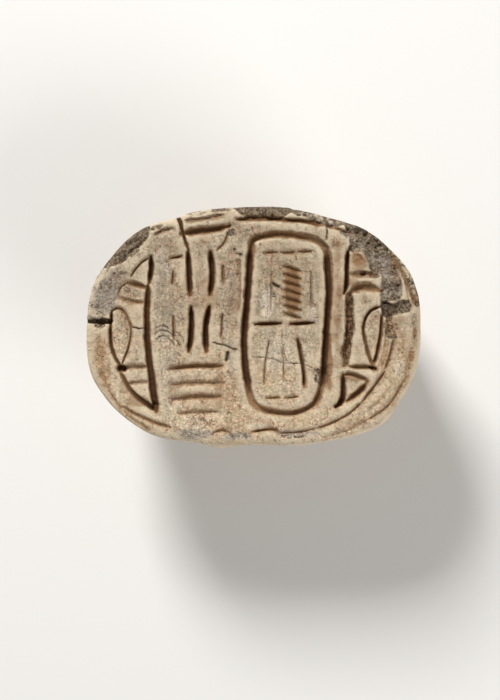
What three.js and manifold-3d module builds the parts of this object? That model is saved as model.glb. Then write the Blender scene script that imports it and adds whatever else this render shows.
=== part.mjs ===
// Scarab amulet of carved steatite, lying on its back with the engraved base uppermost.
// Millimetres, +Z up. The origin is the middle of the small rubbed flat on the beetle's back,
// X runs along the amulet with the head towards -X, and the engraved face is the highest plane.
import * as THREE from "three";
import { mergeVertices } from "three/addons/utils/BufferGeometryUtils.js";
import Module from "manifold-3d";

const wasm = await Module();
wasm.setup();

// Driving dimensions
const LENGTH = 18.0;
const WIDTH = 12.96;
const HEIGHT = 7.6;
const OUTLINE_POWER = 2.5; // 2 is an ellipse, higher is squarer
const PLATE_THICKNESS = 1.4;
const PLATE_EDGE_ROUND = 0.12;
const LEG_ZONE_HEIGHT = 1.75; // between the plate's underside and the rim of the back
const WAIST_INSET = 1.0; // how far the body behind the legs stands inside the plate's edge
const BACK_INSET = 0.45; // how far the rim of the back stands inside the plate's edge
const BACK_POWER = 2.2; // fullness of the domed back
const RUBBED_FLAT_DEPTH = 0.12; // taken off the crown, which gives the flat that it rests on
const BORE_DIAMETER = 1.4;
const LEG_THICKNESS = 1.15;
const MAIN_GROOVE_WIDTH = 0.34;
const MAIN_GROOVE_DEPTH = 0.36;
const FINE_GROOVE_WIDTH = 0.2;
const FINE_GROOVE_DEPTH = 0.16;
const BACK_GROOVE_WIDTH = 0.34;
const BACK_GROOVE_DEPTH = 0.2;

// Levels and half sizes that follow from them
const HALF_LENGTH = LENGTH / 2;
const HALF_WIDTH = WIDTH / 2;
const PLATE_UNDERSIDE = HEIGHT - PLATE_THICKNESS;
const BACK_RIM = PLATE_UNDERSIDE - LEG_ZONE_HEIGHT;
const BORE_LEVEL = PLATE_UNDERSIDE - LEG_ZONE_HEIGHT / 2;
const LIFT = 0.25; // how far a cutter stands out of the surface that it cuts
const OUTLINE_STEPS = 74;

const rad = THREE.MathUtils.degToRad;

// How the rim is worn and swollen: each entry is centred on an angle and fades over a spread,
// both in degrees anticlockwise from +X, and moves the edge in or out by millimetres.
const RIM_WEAR = [
  { at: 30, spread: 10, out: -0.18 },
  { at: 54, spread: 12, out: -0.19 },
  { at: 82, spread: 8, out: 0.07 },
  { at: 127, spread: 8, out: -0.17 },
  { at: 153, spread: 12, out: -0.21 },
  { at: 195, spread: 9, out: 0.11 },
  { at: 226, spread: 8, out: 0.13 },
  { at: 241, spread: 6, out: -0.09 },
  { at: 254, spread: 4.5, out: 0.1 },
  { at: 273, spread: 13, out: -0.16 },
  { at: 315, spread: 9, out: 0.17 },
  { at: 324, spread: 6.5, out: 0.24 },
];

// The shortest turn from one angle to another, in degrees
const turn = (from, to) => ((to - from + 540) % 360) - 180;

// A hump of height 1 at the angle `at`, fading away over `spread`
const hump = (angle, at, spread) => Math.exp(-((turn(at, angle) / spread) ** 2));

// Distance from the middle to a squared oval, in a direction given in radians
function ovalRadius(angle, halfLength, halfWidth, power) {
  const across = Math.abs(Math.cos(angle) / halfLength) ** power;
  const up = Math.abs(Math.sin(angle) / halfWidth) ** power;
  return (across + up) ** (-1 / power);
}

// The plate's silhouette, with its wear, drawn in by `inset`
function plateRadius(angle, inset = 0) {
  const degrees = THREE.MathUtils.radToDeg(angle);
  const wear = RIM_WEAR.reduce((sum, w) => sum + w.out * hump(degrees, w.at, w.spread), 0);
  return ovalRadius(angle, HALF_LENGTH, HALF_WIDTH, OUTLINE_POWER) + wear - inset;
}

// The engraved face is smaller than the silhouette where the plate's side slopes out, at the lower right.
const SIDE_SLOPE = { at: -10, spread: 42, inset: 0.38 };
function faceInset(angle) {
  return SIDE_SLOPE.inset * hump(THREE.MathUtils.radToDeg(angle), SIDE_SLOPE.at, SIDE_SLOPE.spread);
}

// A ring of points round the middle
function ring(radiusAt, level, steps = OUTLINE_STEPS, centreX = 0) {
  return Array.from({ length: steps }, (_, i) => {
    const angle = (2 * Math.PI * i) / steps;
    const radius = radiusAt(angle);
    return new THREE.Vector3(centreX + radius * Math.cos(angle), radius * Math.sin(angle), level);
  });
}

// A closed skin over sections that hold the same number of points each. The sections run
// anticlockwise seen from the end of the loft; a looped loft joins its last section to its first.
function loft(sections, looped = false) {
  const count = sections[0].length;
  const points = sections.flat();
  const faces = [];
  const spans = looped ? sections.length : sections.length - 1;
  for (let s = 0; s < spans; s++) {
    const low = s * count;
    const high = ((s + 1) % sections.length) * count;
    for (let i = 0; i < count; i++) {
      const j = (i + 1) % count;
      faces.push(low + i, low + j, high + j, low + i, high + j, high + i);
    }
  }
  if (!looped) {
    const last = (sections.length - 1) * count;
    for (let i = 1; i < count - 1; i++) {
      faces.push(0, i + 1, i, last, last + i, last + i + 1);
    }
  }
  const geometry = new THREE.BufferGeometry().setFromPoints(points);
  geometry.setIndex(faces);
  return geometry;
}

// A manifold solid from a three.js geometry, turned face outwards if it was drawn inside out
function solidOf(geometry) {
  const bare = geometry.clone();
  bare.deleteAttribute("normal");
  bare.deleteAttribute("uv");
  const merged = mergeVertices(bare, 1e-4);
  const triVerts = new Uint32Array(merged.index.array);
  const vertProperties = new Float32Array(merged.attributes.position.array);
  const made = new wasm.Manifold(new wasm.Mesh({ numProp: 3, vertProperties, triVerts }));
  if (made.volume() >= 0) return made;
  for (let i = 0; i < triVerts.length; i += 3) {
    [triVerts[i + 1], triVerts[i + 2]] = [triVerts[i + 2], triVerts[i + 1]];
  }
  return new wasm.Manifold(new wasm.Mesh({ numProp: 3, vertProperties, triVerts }));
}

// The base plate, its side rounded at both edges and sloping out where it shows from above
function basePlate() {
  const inset = (extra) => (angle) => plateRadius(angle, extra);
  const faceEdge = (extra) => (angle) => plateRadius(angle, faceInset(angle) + extra);
  return loft([
    ring(inset(PLATE_EDGE_ROUND * 2), PLATE_UNDERSIDE),
    ring(inset(0), PLATE_UNDERSIDE + PLATE_EDGE_ROUND * 2),
    ring(inset(0), HEIGHT - PLATE_THICKNESS * 0.45),
    ring(faceEdge(0), HEIGHT - PLATE_EDGE_ROUND),
    ring(faceEdge(PLATE_EDGE_ROUND), HEIGHT),
  ]);
}

// The body behind the legs, which joins the plate to the back
function waist() {
  const wall = (angle) => ovalRadius(angle, HALF_LENGTH - WAIST_INSET, HALF_WIDTH - WAIST_INSET, OUTLINE_POWER);
  const overlap = 0.3;
  return loft([ring(wall, BACK_RIM - overlap, 48), ring(wall, PLATE_UNDERSIDE + overlap, 48)]);
}

// The domed back: plan size, and the level of its surface at a share `s` of the way to its rim
const BACK = {
  centreX: LENGTH * 0.04,
  halfLength: HALF_LENGTH - BACK_INSET - LENGTH * 0.04,
  halfWidth: HALF_WIDTH - BACK_INSET,
  rimRound: 0.3,
};
function backLevel(s) {
  const rise = BACK_RIM + RUBBED_FLAT_DEPTH;
  const fall = 1 - (1 - Math.min(s, 1) ** BACK_POWER) ** (1 / BACK_POWER);
  return Math.max(0, rise * fall - RUBBED_FLAT_DEPTH);
}
function backLevelAt(x, y) {
  const across = Math.abs((x - BACK.centreX) / BACK.halfLength) ** OUTLINE_POWER;
  const up = Math.abs(y / BACK.halfWidth) ** OUTLINE_POWER;
  return backLevel((across + up) ** (1 / OUTLINE_POWER));
}

function domedBack() {
  const plan = (share) => (angle) =>
    share * ovalRadius(angle, BACK.halfLength, BACK.halfWidth, OUTLINE_POWER);
  const flatShare = (1 - (1 - RUBBED_FLAT_DEPTH / (BACK_RIM + RUBBED_FLAT_DEPTH)) ** BACK_POWER)
    ** (1 / BACK_POWER);
  const shares = [flatShare, 0.43, 0.57, 0.7, 0.8, 0.88, 0.94, 0.98, 1];
  const rings = shares.map((s) => ring(plan(s), backLevel(s), OUTLINE_STEPS, BACK.centreX));
  const tuckedUnder = plan(1 - BACK.rimRound / BACK.halfWidth);
  const overWaist = plan(1 - (WAIST_INSET - BACK_INSET + BACK.rimRound) / BACK.halfWidth);
  rings.push(ring(tuckedUnder, BACK_RIM + BACK.rimRound * 0.6, OUTLINE_STEPS, BACK.centreX));
  rings.push(ring(overWaist, BACK_RIM + BACK.rimRound, OUTLINE_STEPS, BACK.centreX));
  return loft(rings);
}

// The head in front of the back, and its notched front plate
const HEAD = {
  centreX: -HALF_LENGTH * 0.71,
  halfLength: HALF_LENGTH * 0.23,
  halfWidth: HALF_WIDTH * 0.4,
  top: BACK_RIM * 0.62,
  plateTop: BACK_RIM * 0.82,
  plateSlope: 1.25,
  teeth: 5,
  toothDepth: 0.28,
};
function headDome() {
  const levels = [1, 0.92, 0.7, 0.35];
  const plan = (share) => (angle) => share * ovalRadius(angle, HEAD.halfLength, HEAD.halfWidth, 2.3);
  const rings = levels.toReversed().map((share) => {
    const level = HEAD.top + (BACK_RIM - HEAD.top) * (1 - Math.sqrt(1 - share ** 2));
    return ring(plan(share), level, 28, HEAD.centreX);
  });
  rings.push(ring(plan(1), PLATE_UNDERSIDE + LIFT, 28, HEAD.centreX));
  return loft(rings);
}

// The front plate of the head: a fan with teeth, sloping out towards the base
function headPlate() {
  const reach = HALF_LENGTH - 0.12 + HEAD.centreX;
  const backX = HEAD.centreX + 0.6;
  const steps = HEAD.teeth * 4;
  const fan = (share, level) => {
    const front = Array.from({ length: steps + 1 }, (_, i) => {
      const t = i / steps - 0.5;
      const tooth = HEAD.toothDepth * Math.abs(Math.sin(Math.PI * HEAD.teeth * t)) ** 0.7;
      const radius = (reach - HEAD.toothDepth + tooth) * share;
      const angle = Math.PI + t * rad(124);
      return new THREE.Vector3(HEAD.centreX + radius * Math.cos(angle), radius * Math.sin(angle), level);
    });
    return [new THREE.Vector3(backX, 1.4 * share, level), ...front, new THREE.Vector3(backX, -1.4 * share, level)];
  };
  return loft([
    fan(0.62, HEAD.plateTop),
    fan(0.97, HEAD.plateTop + HEAD.plateSlope),
    fan(1, PLATE_UNDERSIDE + LIFT),
  ]);
}

function eye(side) {
  return new THREE.SphereGeometry(0.62, 12, 8)
    .scale(1.15, 0.85, 0.9)
    .translate(HEAD.centreX + 0.15, side * (HEAD.halfWidth + 0.02), HEAD.top + 1.25);
}

// Legs: tapering limbs that follow the side between plate and back. A station holds degrees from
// the tail, a share of the leg zone counted down from the plate, and a share of LEG_THICKNESS.
const LEGS = {
  front: [[113, 0.6, 1.1], [127, 0.5, 1], [141, 0.42, 0.8], [152, 0.34, 0.55]],
  middle: [[121, 0.94, 0.75], [108, 0.7, 0.9], [95, 0.42, 0.85], [80, 0.16, 0.55]],
  hindThigh: [[104, 0.95, 0.8], [86, 0.86, 1.05], [68, 0.72, 1.1], [49, 0.6, 0.8]],
  hindShin: [[57, 0.56, 0.6], [42, 0.48, 0.85], [27, 0.3, 0.75], [16, 0.2, 0.45]],
};
function leg(stations, side) {
  const steps = 7;
  const sides = 8;
  const sunk = WAIST_INSET - LEG_THICKNESS * 0.25;
  const points = stations.map(([degrees, down]) => {
    const angle = rad(side * degrees);
    const radius = plateRadius(angle, sunk);
    const level = PLATE_UNDERSIDE - LEG_ZONE_HEIGHT * down;
    return new THREE.Vector3(radius * Math.cos(angle), radius * Math.sin(angle), level);
  });
  const path = new THREE.CatmullRomCurve3(points);
  const sections = Array.from({ length: steps + 1 }, (_, i) => {
    const t = i / steps;
    const stretch = Math.min(Math.floor(t * (stations.length - 1)), stations.length - 2);
    const share = t * (stations.length - 1) - stretch;
    const thickness = THREE.MathUtils.lerp(stations[stretch][2], stations[stretch + 1][2], share);
    const tip = i === 0 || i === steps ? 0.4 : 1;
    const centre = path.getPoint(t);
    const outward = new THREE.Vector3(centre.x, centre.y, 0).normalize();
    const across = path.getTangent(t).cross(outward).normalize();
    return Array.from({ length: sides }, (__, j) => {
      const angle = (2 * Math.PI * j) / sides;
      const radius = (LEG_THICKNESS / 2) * thickness * tip;
      return centre.clone()
        .addScaledVector(outward, radius * Math.cos(angle))
        .addScaledVector(across, radius * Math.sin(angle));
    });
  });
  return loft(sections);
}

// The hole for the cord, drilled from end to end
function bore() {
  return new THREE.CylinderGeometry(BORE_DIAMETER / 2, BORE_DIAMETER / 2, LENGTH + 2, 20)
    .rotateZ(Math.PI / 2)
    .translate(0, 0, BORE_LEVEL);
}

// A cutter for an engraved line. It follows `path`, with `outward` giving the surface's normal at a
// point. Unless the line is closed or blunt, its ends narrow and rise as a graver's stroke does.
const TIP = { width: 0.4, depth: 0.35, length: 1.1 }; // shares of the full size, and of the width
function grooveCutter(path, outward, { width, depth, closed = false, blunt = false }) {
  const stations = path.map((point) => ({ point, wide: 1, deep: 1 }));
  if (!closed && !blunt) {
    const ends = [[path[0], path[1]], [path.at(-1), path.at(-2)]];
    const tips = ends.map(([end, next]) => {
      const inward = next.clone().sub(end).setLength(width * TIP.length);
      return { point: end.clone().add(inward), wide: 1, deep: 1 };
    });
    stations[0] = { point: path[0], wide: TIP.width, deep: TIP.depth };
    stations[path.length - 1] = { point: path.at(-1), wide: TIP.width, deep: TIP.depth };
    stations.splice(1, 0, tips[0]);
    stations.splice(-1, 0, tips[1]);
  }
  const last = stations.length - 1;
  const floorHalf = width * 0.2;
  const flare = width * 0.5 + (width * 0.3 * LIFT) / depth;
  const sections = stations.map(({ point, wide, deep }, i) => {
    const before = stations[closed ? (i + last) % (last + 1) : Math.max(i - 1, 0)].point;
    const after = stations[closed ? (i + 1) % (last + 1) : Math.min(i + 1, last)].point;
    const normal = outward(point);
    const across = after.clone().sub(before).cross(normal).normalize();
    const at = (side, up) => point.clone()
      .addScaledVector(across, side * wide)
      .addScaledVector(normal, up);
    return [at(-flare, LIFT), at(-floorHalf, -depth * deep), at(floorHalf, -depth * deep), at(flare, LIFT)];
  });
  return loft(sections, closed);
}

const faceUp = () => new THREE.Vector3(0, 0, 1);

// A place on the engraved face, as shares of the half length and half width
const place = (u, v) => new THREE.Vector3(u * HALF_LENGTH, v * HALF_WIDTH, HEIGHT);

// Points of a bowed line between two places. The bow is to the left of its direction, in shares.
function bowed([u0, v0], [u1, v1], bow = 0, steps = bow ? 5 : 1) {
  const along = new THREE.Vector2(u1 - u0, v1 - v0);
  const left = new THREE.Vector2(-along.y, along.x).normalize();
  return Array.from({ length: steps + 1 }, (_, i) => {
    const t = i / steps;
    const out = 4 * bow * t * (1 - t);
    return place(u0 + along.x * t + left.x * out, v0 + along.y * t + left.y * out);
  });
}

const MAIN = { width: MAIN_GROOVE_WIDTH, depth: MAIN_GROOVE_DEPTH };
const FINE = { width: FINE_GROOVE_WIDTH, depth: FINE_GROOVE_DEPTH };
const stroke = (from, to, bow = 0, size = MAIN) => grooveCutter(bowed(from, to, bow), faceUp, size);

// The upright oval frame, a squared oval with softly bowed ends
const FRAME = { u: 0.197, v: 0.03, halfWidth: 2.13, halfHeight: 4.7, power: 5.5, lean: 0.017 };
function uprightFrame() {
  const middle = place(FRAME.u, FRAME.v);
  const steps = 40;
  const path = Array.from({ length: steps }, (_, i) => {
    const angle = (2 * Math.PI * i) / steps;
    const spread = (value, half) => Math.sign(value) * half * Math.abs(value) ** (2 / FRAME.power);
    const x = spread(Math.cos(angle), FRAME.halfWidth);
    const y = spread(Math.sin(angle), FRAME.halfHeight);
    return new THREE.Vector3(middle.x + x + y * FRAME.lean, middle.y + y, HEIGHT);
  });
  return grooveCutter(path, faceUp, { ...MAIN, width: MAIN_GROOVE_WIDTH * 1.1, closed: true });
}

// The border: arcs of a squared oval just inside the rim, cut where it still shows
const BORDER = { u: -0.045, halfLeft: 0.95, halfRight: 0.885, halfUp: 0.872, power: 2.5 };
const BORDER_ARCS = [[206, 243], [262, 292], [294, 371], [66, 92], [94, 110]];
function borderArc([fromDegrees, toDegrees]) {
  const steps = Math.ceil((toDegrees - fromDegrees) / 8);
  const path = Array.from({ length: steps + 1 }, (_, i) => {
    const angle = rad(fromDegrees + ((toDegrees - fromDegrees) * i) / steps);
    const half = Math.cos(angle) < 0 ? BORDER.halfLeft : BORDER.halfRight;
    const radius = ovalRadius(angle, half * HALF_LENGTH, BORDER.halfUp * HALF_WIDTH, BORDER.power);
    return new THREE.Vector3(
      BORDER.u * HALF_LENGTH + radius * Math.cos(angle), radius * Math.sin(angle), HEIGHT,
    );
  });
  return grooveCutter(path, faceUp, FINE);
}

// The two end ornaments, segments that stand upright against the border: a straight chord on the
// inner side, a cross band above and two below, a pointed lobe on the outer side and a curved foot
function leftOrnament() {
  return [
    stroke([-0.617, 0.585], [-0.622, 0.36]),
    stroke([-0.634, 0.37], [-0.634, -0.16]),
    stroke([-0.632, -0.14], [-0.585, -0.68]),
    stroke([-0.622, 0.57], [-0.74, 0.43], 0.012, FINE),
    stroke([-0.755, 0.39], [-0.63, 0.325]),
    stroke([-0.81, 0.26], [-0.645, 0.2], 0, FINE),
    stroke([-0.852, 0.13], [-0.81, -0.27], -0.02),
    stroke([-0.82, 0.15], [-0.785, -0.26], 0.105, FINE),
    stroke([-0.8, -0.325], [-0.625, -0.328]),
    stroke([-0.75, -0.465], [-0.61, -0.46], 0, FINE),
    stroke([-0.805, -0.345], [-0.595, -0.685], -0.055),
  ];
}
function rightOrnament() {
  return [
    stroke([0.565, 0.63], [0.555, 0.39]),
    stroke([0.57, 0.28], [0.57, -0.02]),
    stroke([0.565, -0.01], [0.538, -0.34]),
    stroke([0.528, -0.4], [0.508, -0.63]),
    stroke([0.57, 0.455], [0.67, 0.43], 0, FINE),
    stroke([0.565, 0.32], [0.75, 0.295], 0.02),
    stroke([0.76, 0.165], [0.725, -0.32], -0.095, FINE),
    stroke([0.762, 0.1], [0.732, -0.31], 0.02),
    stroke([0.54, -0.335], [0.71, -0.33]),
    stroke([0.54, -0.4], [0.67, -0.43], 0, FINE),
    stroke([0.71, -0.345], [0.535, -0.63], 0.04),
  ];
}

// Rows of plain strokes left of the frame: two rows of upright ones and a row of level ones
const COLUMN = {
  long: [-0.392, -0.262],
  short: [-0.482, -0.19],
  uprightRows: [[0.625, 0.27], [0.17, -0.2]],
  levelRows: [[-0.5, -0.19, -0.335], [-0.49, -0.2, -0.47], [-0.475, -0.205, -0.585], [-0.455, -0.225, -0.71]],
};
function columnStrokes() {
  const cuts = [
    stroke([-0.425, 0.79], [-0.152, 0.84], 0.008),
    stroke([-0.5, 0.578], [-0.44, 0.585], 0, FINE),
  ];
  for (const [top, foot] of COLUMN.uprightRows) {
    for (const u of COLUMN.long) cuts.push(stroke([u, top], [u + 0.004, foot]));
    for (const u of COLUMN.short) cuts.push(stroke([u, top - 0.1], [u, foot + 0.08], 0, FINE));
  }
  COLUMN.levelRows.forEach(([from, to, v], row) => {
    cuts.push(stroke([from, v], [to, v + 0.02], 0, row % 2 ? FINE : MAIN));
  });
  return cuts;
}

// Rows of plain strokes inside the frame: level dashes, a stack of slanted ones and upright ones
const HATCH = { u: 0.182, width: 0.095, top: 0.5, pitch: 0.075, count: 7, fall: 0.05 };
const FRAME_ROWS = {
  top: { v: 0.62, dashes: [[0.058, 0.135], [0.165, 0.238], [0.268, 0.34]] },
  middle: { v: 0.03, dashes: [[0.005, 0.16], [0.215, 0.355]] },
  foot: { v: -0.585, dashes: [[0.075, 0.15], [0.185, 0.262]] },
};
function frameStrokes() {
  const row = ({ v, dashes }, size) => dashes.map(([from, to]) => stroke([from, v], [to, v + 0.008], 0, size));
  const cuts = [
    ...row(FRAME_ROWS.top, FINE),
    ...row(FRAME_ROWS.middle, MAIN),
    ...row(FRAME_ROWS.foot, FINE),
    stroke([0.105, 0.46], [0.1, 0.13], 0, FINE),
    stroke([0.34, 0.47], [0.342, 0.14], 0, FINE),
    stroke([0.262, -0.09], [0.3, -0.5], 0.012),
    stroke([0.09, -0.1], [0.058, -0.49], -0.01, FINE),
    stroke([0.172, -0.13], [0.176, -0.45], 0, FINE),
  ];
  for (let i = 0; i < HATCH.count; i++) {
    const v = HATCH.top - i * HATCH.pitch;
    cuts.push(stroke([HATCH.u, v], [HATCH.u + HATCH.width, v - HATCH.fall], 0, FINE));
  }
  return cuts;
}

// Lines of the beetle's back. A normal there is found from the slope of the dome.
function backNormal(point) {
  const step = 0.02;
  const slopeX = (backLevelAt(point.x + step, point.y) - backLevelAt(point.x - step, point.y)) / (2 * step);
  const slopeY = (backLevelAt(point.x, point.y + step) - backLevelAt(point.x, point.y - step)) / (2 * step);
  return new THREE.Vector3(slopeX, slopeY, -1).normalize();
}
const onBack = (x, y) => new THREE.Vector3(x, y, backLevelAt(x, y));
const BACK_CUT = { width: BACK_GROOVE_WIDTH, depth: BACK_GROOVE_DEPTH, blunt: true };

// The collar line crosses the back, and the two wing cases meet along the suture behind it.
const COLLAR = { x: -LENGTH * 0.115, bow: 0.9, reach: 0.93 };
const SUTURE_GAP = 0.42;
function backLines() {
  const spread = (steps, make) => Array.from({ length: steps + 1 }, (_, i) => make(i / steps));
  const collar = spread(16, (t) => {
    const side = 2 * t - 1;
    return onBack(COLLAR.x + COLLAR.bow * (1 - side ** 2) * 0.6, side * COLLAR.reach * BACK.halfWidth);
  });
  const sutureStart = COLLAR.x + COLLAR.bow * 0.6;
  const sutureEnd = BACK.centreX + BACK.halfLength * 0.98;
  const sutures = [-1, 1].map((side) => spread(12, (t) =>
    onBack(sutureStart + (sutureEnd - sutureStart) * t, side * SUTURE_GAP / 2)));
  const shoulders = [-1, 1].map((side) => spread(3, (t) =>
    onBack(COLLAR.x + 0.15 + t * 1.5, side * BACK.halfWidth * (0.62 + 0.1 * t))));
  return [collar, ...sutures, ...shoulders].map((path) => grooveCutter(path, backNormal, BACK_CUT));
}

// Damage. A rim chip slopes down from inside the face to the edge, over a range of degrees.
function rimChip({ from, to, reach, drop, steps = 8 }) {
  const sections = Array.from({ length: steps + 1 }, (_, i) => {
    const t = i / steps;
    const angle = rad(from + (to - from) * t);
    const share = 0.06 + 0.94 * Math.sin(Math.PI * t) ** 0.7;
    const edge = plateRadius(angle, faceInset(angle));
    const at = (radius, level) => new THREE.Vector3(radius * Math.cos(angle), radius * Math.sin(angle), level);
    return [
      at(edge - reach * share, HEIGHT + 0.02),
      at(edge - reach * share * 0.75, HEIGHT - drop * share * 0.6),
      at(edge + 1, HEIGHT - drop * share * 1.6),
      at(edge + 1, HEIGHT + 1),
      at(edge - reach * share, HEIGHT + 1),
    ];
  });
  return loft(sections);
}
const RIM_CHIPS = [
  { from: 103, to: 178, reach: 1.15, drop: 0.16 },
  { from: 4, to: 62, reach: 1.75, drop: 0.2 },
  { from: 72, to: 100, reach: 0.5, drop: 0.12 },
];

// The split at the left end and the crack that runs in from the upper edge
function cracks() {
  const split = { width: 0.26, depth: 0.5, blunt: true };
  return [
    grooveCutter(bowed([-1.02, 0.062], [-0.885, 0.055]), faceUp, split),
    grooveCutter(bowed([-0.465, 0.96], [-0.395, 0.65], 0.01), faceUp, { width: 0.16, depth: 0.4 }),
  ];
}

function scarab() {
  const together = (list) => list.map(solidOf).reduce((sum, next) => sum.add(next));
  const legs = [-1, 1].flatMap((side) => Object.values(LEGS).map((stations) => leg(stations, side)));
  const body = together([
    basePlate(), waist(), domedBack(), headDome(), headPlate(), eye(-1), eye(1), ...legs,
  ]);
  const engraving = together([
    uprightFrame(), ...BORDER_ARCS.map(borderArc), ...leftOrnament(), ...rightOrnament(),
    ...columnStrokes(), ...frameStrokes(),
  ]);
  const damage = together([...RIM_CHIPS.map(rimChip), ...cracks()]);
  return body
    .subtract(engraving)
    .subtract(together(backLines()))
    .subtract(damage)
    .subtract(solidOf(bore()));
}

// Back from a manifold solid to a three.js geometry
function geometryOf(solid) {
  const mesh = solid.getMesh();
  const positions = new Float32Array(mesh.numVert * 3);
  for (let i = 0; i < mesh.numVert; i++) {
    positions.set(mesh.vertProperties.subarray(i * mesh.numProp, i * mesh.numProp + 3), i * 3);
  }
  const geometry = new THREE.BufferGeometry();
  geometry.setAttribute("position", new THREE.BufferAttribute(positions, 3));
  geometry.setIndex(new THREE.BufferAttribute(mesh.triVerts, 1));
  geometry.computeVertexNormals();
  return geometry;
}

const steatite = new THREE.MeshStandardMaterial({ color: 0xc4b08f, roughness: 0.75, metalness: 0 });

const amulet = new THREE.Group();
const stone = new THREE.Mesh(geometryOf(scarab()), steatite);
stone.name = "scarab";
amulet.add(stone);

export default amulet;
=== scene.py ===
# Scarab amulet of carved steatite, lying on its back with the engraved base uppermost.
# The stone is worked out on a fine grid as one field, negative inside it: the base plate, the
# beetle's back, head and legs, less the cord hole, the engraving and the damage. Lengths are in
# millimetres until the mesh is made. Axes and origin are the frame's: +X to the tail, +Z up.
import math

import bpy
import numpy as np
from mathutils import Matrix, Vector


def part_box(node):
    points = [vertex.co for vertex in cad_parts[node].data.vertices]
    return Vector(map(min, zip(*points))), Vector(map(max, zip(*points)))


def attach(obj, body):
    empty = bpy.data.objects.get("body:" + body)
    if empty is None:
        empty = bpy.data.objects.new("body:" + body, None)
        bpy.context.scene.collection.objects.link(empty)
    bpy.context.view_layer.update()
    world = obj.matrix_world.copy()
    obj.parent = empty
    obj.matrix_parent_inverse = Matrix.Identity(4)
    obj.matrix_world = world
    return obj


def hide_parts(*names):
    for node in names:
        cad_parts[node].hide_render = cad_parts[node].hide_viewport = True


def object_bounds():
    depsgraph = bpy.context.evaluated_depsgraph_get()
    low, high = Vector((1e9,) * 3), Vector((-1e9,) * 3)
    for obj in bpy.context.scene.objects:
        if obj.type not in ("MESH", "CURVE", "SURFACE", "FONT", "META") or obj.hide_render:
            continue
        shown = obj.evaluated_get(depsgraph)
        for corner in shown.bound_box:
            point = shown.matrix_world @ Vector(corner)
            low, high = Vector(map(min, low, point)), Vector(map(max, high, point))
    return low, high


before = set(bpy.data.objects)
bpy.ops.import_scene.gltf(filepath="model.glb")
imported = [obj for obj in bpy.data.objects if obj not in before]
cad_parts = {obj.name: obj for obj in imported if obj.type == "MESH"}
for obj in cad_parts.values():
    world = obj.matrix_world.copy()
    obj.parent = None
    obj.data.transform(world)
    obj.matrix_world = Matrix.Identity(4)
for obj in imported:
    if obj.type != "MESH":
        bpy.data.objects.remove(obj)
CAD_BOX = [[float(c) for c in corner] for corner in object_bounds()]

MM = 0.001
CELL = 0.055  # spacing of the field's grid
MAP_CELL = 0.03  # spacing of the maps of the engraved face
TRIANGLES = 196_000  # in the finished stone

# Sizes shared with the solid
low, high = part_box("scarab")
HALF_LENGTH = (high.x - low.x) / MM / 2
HEIGHT = (high.z - low.z) / MM
HALF_WIDTH = 6.48
OUTLINE_POWER = 2.5
PLATE_THICKNESS = 1.4
LEG_ZONE_HEIGHT = 1.75
WAIST_INSET = 1.0
BACK_INSET = 0.45
BACK_POWER = 2.2
RUBBED_FLAT_DEPTH = 0.12
BORE_RADIUS = 0.7
LEG_THICKNESS = 1.15
PLATE_UNDERSIDE = HEIGHT - PLATE_THICKNESS
BACK_RIM = PLATE_UNDERSIDE - LEG_ZONE_HEIGHT
BORE_LEVEL = PLATE_UNDERSIDE - LEG_ZONE_HEIGHT / 2
BACK_CENTRE = HALF_LENGTH * 0.08
BACK_HALF_LENGTH = HALF_LENGTH - BACK_INSET - BACK_CENTRE
BACK_HALF_WIDTH = HALF_WIDTH - BACK_INSET
HEAD_CENTRE = -HALF_LENGTH * 0.71
HEAD_HALF_LENGTH = HALF_LENGTH * 0.23
HEAD_HALF_WIDTH = HALF_WIDTH * 0.4
HEAD_TOP = BACK_RIM * 0.62


# Numbers that behave like worn stone: smooth steps, smooth joins and lumpy noise
def smoothstep(start, end, value):
    t = np.clip((value - start) / (end - start), 0, 1)
    return t * t * (3 - 2 * t)


def smooth_max(a, b, blend):
    overlap = np.maximum(blend - np.abs(a - b), 0) / blend
    return np.maximum(a, b) + overlap * overlap * blend / 4


def smooth_min(a, b, blend):
    return -smooth_max(-a, -b, blend)


LATTICE_SIZE = 32
OCTAVE_SHARE = 0.55  # weight of each finer octave against the one before it
OCTAVE_SHIFT = 11.3
AXIS_SHIFT = 5.7
LATTICE = np.random.default_rng(7).random((LATTICE_SIZE,) * 3).astype(np.float32)


def noise(x, y, z, size, octaves=3):
    """Lumpy noise from 0 to 1 whose largest lumps are about `size` millimetres across."""
    total = np.zeros(np.broadcast(x, y, z).shape, np.float32)
    weight = 0.0
    for octave in range(octaves):
        scale = 2**octave / size
        share = OCTAVE_SHARE**octave
        cell, part = [], []
        for k, coordinate in enumerate((x, y, z)):
            place = coordinate * scale + OCTAVE_SHIFT * octave + AXIS_SHIFT * k
            floor = np.floor(place)
            t = place - floor
            cell.append(floor.astype(np.int32))
            part.append(t * t * (3 - 2 * t))
        for corner in range(8):
            step = [(corner >> k) & 1 for k in range(3)]
            index = [(cell[k] + step[k]) % LATTICE_SIZE for k in range(3)]
            near = [part[k] if step[k] else 1 - part[k] for k in range(3)]
            total += share * LATTICE[index[0], index[1], index[2]] * near[0] * near[1] * near[2]
        weight += share
    return total / weight


# The outline of the base
RIM_WEAR = [
    # degrees anticlockwise from +X, spread in degrees, millimetres out
    (30, 10, -0.18), (54, 12, -0.19), (127, 8, -0.17), (153, 12, -0.21), (195, 9, 0.11),
    (226, 8, 0.13), (241, 6, -0.09), (254, 4.5, 0.1), (273, 13, -0.16), (315, 9, 0.17),
    (324, 6.5, 0.24),
]
# The piece of rim that still stands at the top, in degrees, with the ends it fades over
RIM_STEP = {"start": 72, "rise": 1, "fall": 6, "end": 99, "out": 0.05}
EDGE_SPARE = 0.035  # what the lumps and chips take off again
EDGE_LUMPS = {"size": 0.9, "depth": 0.045}
# Where the plate's side slopes out: degrees, spread and inset
SIDE_SLOPES = [(-10, 42, 0.38), (256, 7, 0.2)]


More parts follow.
